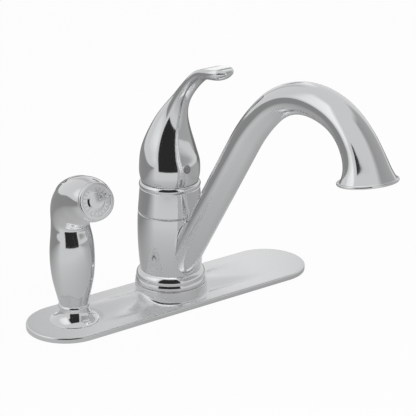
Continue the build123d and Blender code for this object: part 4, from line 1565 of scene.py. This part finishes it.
    def face(self) -> Piece:
        """The face: a shallow dish with a ring of jets and a raised centre."""
        radius, depth, edge = self.face_radius, self.face_depth, self.face_edge
        outline = [(radius, 0.0), (radius, depth - edge), (radius - edge, depth)]
        outline += [(across, depth + rise) for across, rise in self.face_dome]
        plate = loft("spray_face_visual", [self.face_ring(r, h) for r, h in outline], self.around)
        tilt = math.radians(self.sections[-1][3])
        upwards = Vector((0, math.cos(tilt), math.sin(tilt)))
        ends = [self.face_ring(self.jet_radius, depth + reach) for reach in self.jet_reach]
        jet = loft("jet_drill", ends, self.jet_around)
        drills = []
        for angle in spaced(0.0, math.tau, self.jets)[:-1]:
            choose(jet)
            bpy.ops.object.duplicate()
            away = Vector((math.cos(angle), 0, 0)) + upwards * math.sin(angle)
            drills.append(shift(bpy.context.object, away * self.jet_ring * MM))
        bpy.data.objects.remove(jet)
        combine(plate, join(drills, "jet_drills"), "DIFFERENCE")
        return self.stand(shade(plate))

    def coupling(self) -> Piece:
        """The hose coupling in the holder, with its spigot and its hose nipple."""
        low, top = self.coupling_low, self.sections[0][1]
        nut, spigot, nipple = self.coupling_radius, self.spigot_radius, self.nipple_radius
        end, edge = self.spigot_top, self.spigot_edge
        profile = [(nipple, self.nipple_low), (nipple, low), (nut, low), (nut, top), (spigot, top)]
        profile += [(spigot, end - edge), (spigot - edge, end)]
        profile += [(self.water, end), (self.water, self.nipple_low)]
        return self.stand(shade(turned("spray_coupling_visual", profile, self.coupling_around)))

    def trigger_pin(self) -> Piece:
        """The pin that the trigger turns on."""
        (reach, height), radius = self.pin, self.pin_radius
        turns = spaced(0.0, math.tau, self.rod_around)[:-1]
        outline = [(reach + radius * math.cos(a), height + radius * math.sin(a)) for a in turns]
        return self.stand(shade(prism("trigger_pin_visual", outline, self.pin_half)))

    def plunger(self) -> Piece:
        """The plunger that the trigger pushes."""
        radius = self.plunger_radius
        rings = [Ring(y, self.plunger_height, math.pi / 2, radius, radius) for y in self.plunger_ends]
        return self.stand(shade(loft("spray_plunger_visual", rings, self.rod_around)))

    def flared_holder(self) -> Piece:
        """The flared holder that the spray hangs in."""
        profile = [*self.shank, *self.foot, *arc(*self.flare, self.flare_steps)]
        profile += arc(*self.bead, self.bead_steps)[1:]
        profile += [(self.bore, self.bead[-1][1]), (self.bore, self.shank[0][1])]
        holder = turned("spray_holder_visual", profile, self.holder_around)
        return shade(shift(holder, point(self.x, 0, 0)))

    def dress(self, dresser: Dresser) -> None:
        """Build and finish every piece of the spray, which stays out of the faucet's own mirrors.

        Args:
            dresser: Hands out the finishes.
        """
        pieces = [
            (self.flared_holder(), Slot.CHROME, Body.BASE, "spray_holder"),
            (self.housing(), Slot.CHROME, Body.SPRAY, "spray_body"),
            (self.trigger(), Slot.CHROME, Body.TRIGGER, "spray_trigger"),
            (self.bezel(), Slot.CHROME, Body.SPRAY, "spray_bezel"),
            (self.face(), Slot.CHROME, Body.SPRAY, "spray_face"),
            (self.coupling(), Slot.WHITE_PLASTIC, Body.HOSE_COUPLING, "spray_coupling"),
            (self.trigger_pin(), Slot.STEEL, Body.SPRAY, "trigger_pin"),
            (self.plunger(), Slot.WHITE_PLASTIC, Body.PLUNGER, "spray_plunger"),
        ]
        for piece, slot, body, node in pieces:
            dresser.wear(piece, slot, body, node)
            piece.visible_glossy = False


# ======== studio ========


@dataclass(frozen=True)
class Card:
    """A curved card beside the set that only mirrors see, and only at their first bounce.

    Its azimuths run from -Y towards +X and its heights are angles above the plate, in degrees. Its
    strengths are those of its start and its end, from 0 for black, and its edges fade over the soft
    share of its width and height. It shows in mirrors whose distance lies in its span, and it stands
    inside the other cards by its inset, both in metres.
    """

    name: str
    azimuths: Pair
    heights: Pair
    strengths: Pair
    soft: float
    span: Pair = (0.0, 10.0)
    inset: float = 0.0


@dataclass(frozen=True)
class Lamp:
    """A soft square lamp that faces the hub and that mirrors don't show, in metres and watts."""

    name: str
    place: tuple[float, float, float]
    size: float
    power: float


# Distance, in metres, that tells mirrors near a card from far ones.
NEAR = 0.57


@dataclass
class Studio:
    """Floor, cards, lamps and camera."""

    # The camera, in millimetres, degrees and pixels of the photograph, and its clip in metres.
    target: tuple[float, float, float] = (0.0, 0.0, 100.0)
    azimuth: float = -36.48
    elevation: float = 20.41
    distance: float = 1398.48
    focal: float = 1602.54
    frame_size: float = 416.0
    offset: Pair = (33.27, -15.49)
    roll: float = -0.2
    sensor: float = 36.0
    clip: Pair = (0.05, 40.0)
    # The floor, in metres. Mirrors see it with a painted shadow near the faucet and painted shade behind it
    # and to its right.
    floor_size: float = 6.0
    floor_drop: float = 0.0002
    floor_grey: tuple[float, float, float, float] = (0.8, 0.8, 0.8, 1.0)
    floor_dim: float = 0.62
    floor_spread: float = 0.3
    floor_white: float = 0.95
    rear_spread: float = 0.22
    rear_dim: float = 0.6
    side_dim: float = 0.4
    # The surround's light on the faucet, and what is added to it in a mirror seen in a mirror.
    plain_light: float = 0.62
    inner_gain: float = 0.25
    # The cards, the roof and the lamps, in metres.
    card_radius: float = 0.62
    card_centre: float = 0.1
    card_grid: tuple[int, int] = (32, 16)
    roof_height: float = 0.7
    roof_size: float = 1.1
    roof_glow: float = 3.0
    roof_soft: float = 0.4
    lamp_aim: float = 0.08
    cards: tuple[Card, ...] = (
        Card("black_card", (-76.0, -5.0), (-9.0, 63.0), (0.04, 0.04), 0.012, span=(NEAR, 10.0)),
        Card("near_black_card", (-68.0, -16.0), (-9.0, 30.0), (0.04, 0.04), 0.012, span=(0.0, NEAR)),
        Card("white_card", (-140.0, -80.0), (8.0, 66.0), (1.2, 1.6), 0.2),
        Card("grey_card", (0.0, 80.0), (8.0, 62.0), (0.5, 0.65), 0.15),
        Card("rear_card", (128.0, 176.0), (2.0, 60.0), (1.5, 0.55), 0.2),
        Card("paddle_card", (134.0, 150.0), (18.0, 34.0), (0.45, 0.45), 0.12, inset=0.02),
    )
    lamps: tuple[Lamp, ...] = (
        Lamp("key_lamp", (0.9, -1.1, 1.6), 0.9, 9.0),
        Lamp("fill_lamp", (-1.3, -0.5, 1.1), 1.0, 4.0),
    )

    def camera(self) -> None:
        """Place the camera at the photograph's viewpoint."""
        a, e, r = (math.radians(v) for v in (self.azimuth, self.elevation, self.roll))
        back = Vector((math.sin(a) * math.cos(e), -math.cos(a) * math.cos(e), math.sin(e)))
        level = Vector((math.cos(a), math.sin(a), 0))
        upright = back.cross(level)
        right = level * math.cos(r) + upright * math.sin(r)
        up = upright * math.cos(r) - level * math.sin(r)
        aim = Vector(self.target) + right * self.offset[0] + up * self.offset[1]
        place = (aim + back * self.distance) * MM
        view = bpy.data.cameras.new("camera")
        view.sensor_width = self.sensor
        view.lens = self.focal * view.sensor_width / self.frame_size
        view.clip_start, view.clip_end = self.clip
        holder = bpy.data.objects.new("camera", view)
        bpy.context.scene.collection.objects.link(holder)
        axes = Matrix((right, up, back)).transposed().to_4x4()
        holder.matrix_world = Matrix.Translation(place) @ axes
        bpy.context.scene.camera = holder

    def floor(self) -> None:
        """Lay the pale floor, which keeps the object's shadow for the camera; mirrors see a painted shadow
        near the faucet and painted shade behind it and to its right.
        """
        bpy.ops.object.select_all(action="DESELECT")
        bpy.ops.mesh.primitive_plane_add(size=self.floor_size, location=(0, 0, -self.floor_drop))
        floor = named(bpy.context.object, "studio_floor")
        recipe = Recipe(bpy.data.materials.new("studio_floor"))
        seen, mirrored = recipe.rays()
        place = recipe.value("ShaderNodeTexCoord", "Object")
        away = recipe.value("ShaderNodeVectorMath", "Value", {"operation": "LENGTH"}, {0: place})
        right, back, _ = recipe.parts(place)
        # Painted shade: clear darkens the floor's glow for mirrors near the faucet as a painted contact
        # shadow, and rear and side darken it behind and to the right.
        clear = self.floor_dim + (away * (1 / self.floor_spread)).least(1.0) * (1 - self.floor_dim)
        rear = 1 - (back * (1 / self.rear_spread)).most(0.0).least(1.0) * self.rear_dim
        side = 1 - (right * (1 / self.rear_spread)).most(0.0).least(1.0) * self.side_dim
        pale = recipe.add("ShaderNodeBsdfDiffuse", None, {"Color": self.floor_grey})
        white = recipe.glow(seen + mirrored * clear * rear * side)
        shader = recipe.blend(seen * self.floor_white + mirrored, pale, white)
        floor.data.materials.append(recipe.close(shader))

    def world(self) -> None:
        """A plain even surrounding, white where the camera or a mirror sees it."""
        world = bpy.data.worlds.new("surround")
        bpy.context.scene.world = world
        recipe = Recipe(world)
        seen, mirrored = recipe.rays()
        strength = self.plain_light + seen.most(mirrored) * (1.0 - self.plain_light)
        strength = strength + recipe.second_bounce() * self.inner_gain
        light = recipe.add("ShaderNodeBackground", None, {"Color": WHITE, "Strength": strength})
        recipe.close(light, "ShaderNodeOutputWorld")

    def hang(self, card: Card) -> None:
        """Hang a card: a grid that is curved about the faucet.

        Args:
            card: The card's place and looks.
        """
        bpy.ops.object.select_all(action="DESELECT")
        across, up = self.card_grid
        bpy.ops.mesh.primitive_grid_add(x_subdivisions=across, y_subdivisions=up, size=2, location=(0, 0, 0))
        sheet = named(bpy.context.object, card.name)
        (left, right), (low, high) = card.azimuths, card.heights
        for vertex in sheet.data.vertices:
            a = math.radians(left + (right - left) * (vertex.co.x + 1) / 2)
            e = math.radians(low + (high - low) * (vertex.co.y + 1) / 2)
            out = Vector((math.sin(a) * math.cos(e), -math.cos(a) * math.cos(e), math.sin(e)))
            vertex.co = out * (self.card_radius - card.inset) + Vector((0, 0, self.card_centre))
        recipe = Recipe(bpy.data.materials.new(card.name))
        inside, along = self.inside(recipe, card.soft)
        first, last = card.strengths
        far = recipe.value("ShaderNodeLightPath", "Ray Length")
        share = inside * (1 - recipe.second_bounce())
        share = share * far.above(card.span[0]) * (1 - far.above(card.span[1]))
        self.show_in_mirrors(sheet, recipe, share, first + along * (last - first))

    def roof(self) -> None:
        """Hang a white roof that only shows where one mirror is seen in another."""
        bpy.ops.object.select_all(action="DESELECT")
        bpy.ops.mesh.primitive_plane_add(size=self.roof_size, location=(0, 0, self.roof_height))
        roof = named(bpy.context.object, "roof_card")
        recipe = Recipe(bpy.data.materials.new("roof_card"))
        share = recipe.second_bounce() * self.inside(recipe, self.roof_soft)[0]
        self.show_in_mirrors(roof, recipe, share, self.roof_glow)

    @staticmethod
    def inside(recipe: Recipe, soft: float) -> tuple[Value, Value]:
        """How far inside a card's edges a place lies.

        Args:
            recipe: The card's material.
            soft: Share of its width and height over which its edges fade.

        Returns:
            1 inside and 0 at the edges, and the place's share of the width.
        """
        u, v, _ = recipe.parts(recipe.value("ShaderNodeTexCoord", "UV"))
        return (u.least(1 - u) * (1 / soft)).least(1.0) * (v.least(1 - v) * (1 / soft)).least(1.0), u

    @staticmethod
    def show_in_mirrors(sheet: Piece, recipe: Recipe, share: Value, strength: Any) -> None:
        """Make a sheet shine for glossy rays alone.

        Args:
            sheet: The sheet.
            recipe: Its material.
            share: Where it shines and where it is clear, from 0 to 1.
            strength: How bright it is.
        """
        clear = recipe.add("ShaderNodeBsdfTransparent")
        sheet.data.materials.append(recipe.close(recipe.blend(share, clear, recipe.glow(strength))))
        sheet.visible_camera = sheet.visible_diffuse = sheet.visible_shadow = False
        sheet.visible_transmission = sheet.visible_volume_scatter = False

    def light(self, lamp: Lamp) -> None:
        """Hang a lamp.

        Args:
            lamp: Its name, place, size and power.
        """
        light = bpy.data.lights.new(lamp.name, "AREA")
        light.size = lamp.size
        light.energy = lamp.power
        holder = bpy.data.objects.new(lamp.name, light)
        bpy.context.scene.collection.objects.link(holder)
        holder.location = lamp.place
        aim = Vector((0.0, 0.0, self.lamp_aim)) - Vector(lamp.place)
        holder.rotation_euler = aim.to_track_quat("-Z", "Y").to_euler()
        holder.visible_glossy = False

    def set_up(self) -> None:
        """Set up everything around the faucet."""
        self.camera()
        self.floor()
        self.world()
        self.roof()
        for card in self.cards:
            self.hang(card)
        for lamp in self.lamps:
            self.light(lamp)
        bpy.context.scene.view_settings.view_transform = "Standard"


def main() -> None:
    """Build the faucet's looks piece by piece."""
    dresser = Dresser(Finishes().palette())
    dresser.frame_nodes(frame["nodes"])
    Studio().set_up()
    DeckPlate().dress(dresser)
    Spout().dress(dresser)
    Collar().dress(dresser)
    Handle().dress(dresser)
    SideSpray().dress(dresser)


if __name__ == "__main__":
    main()
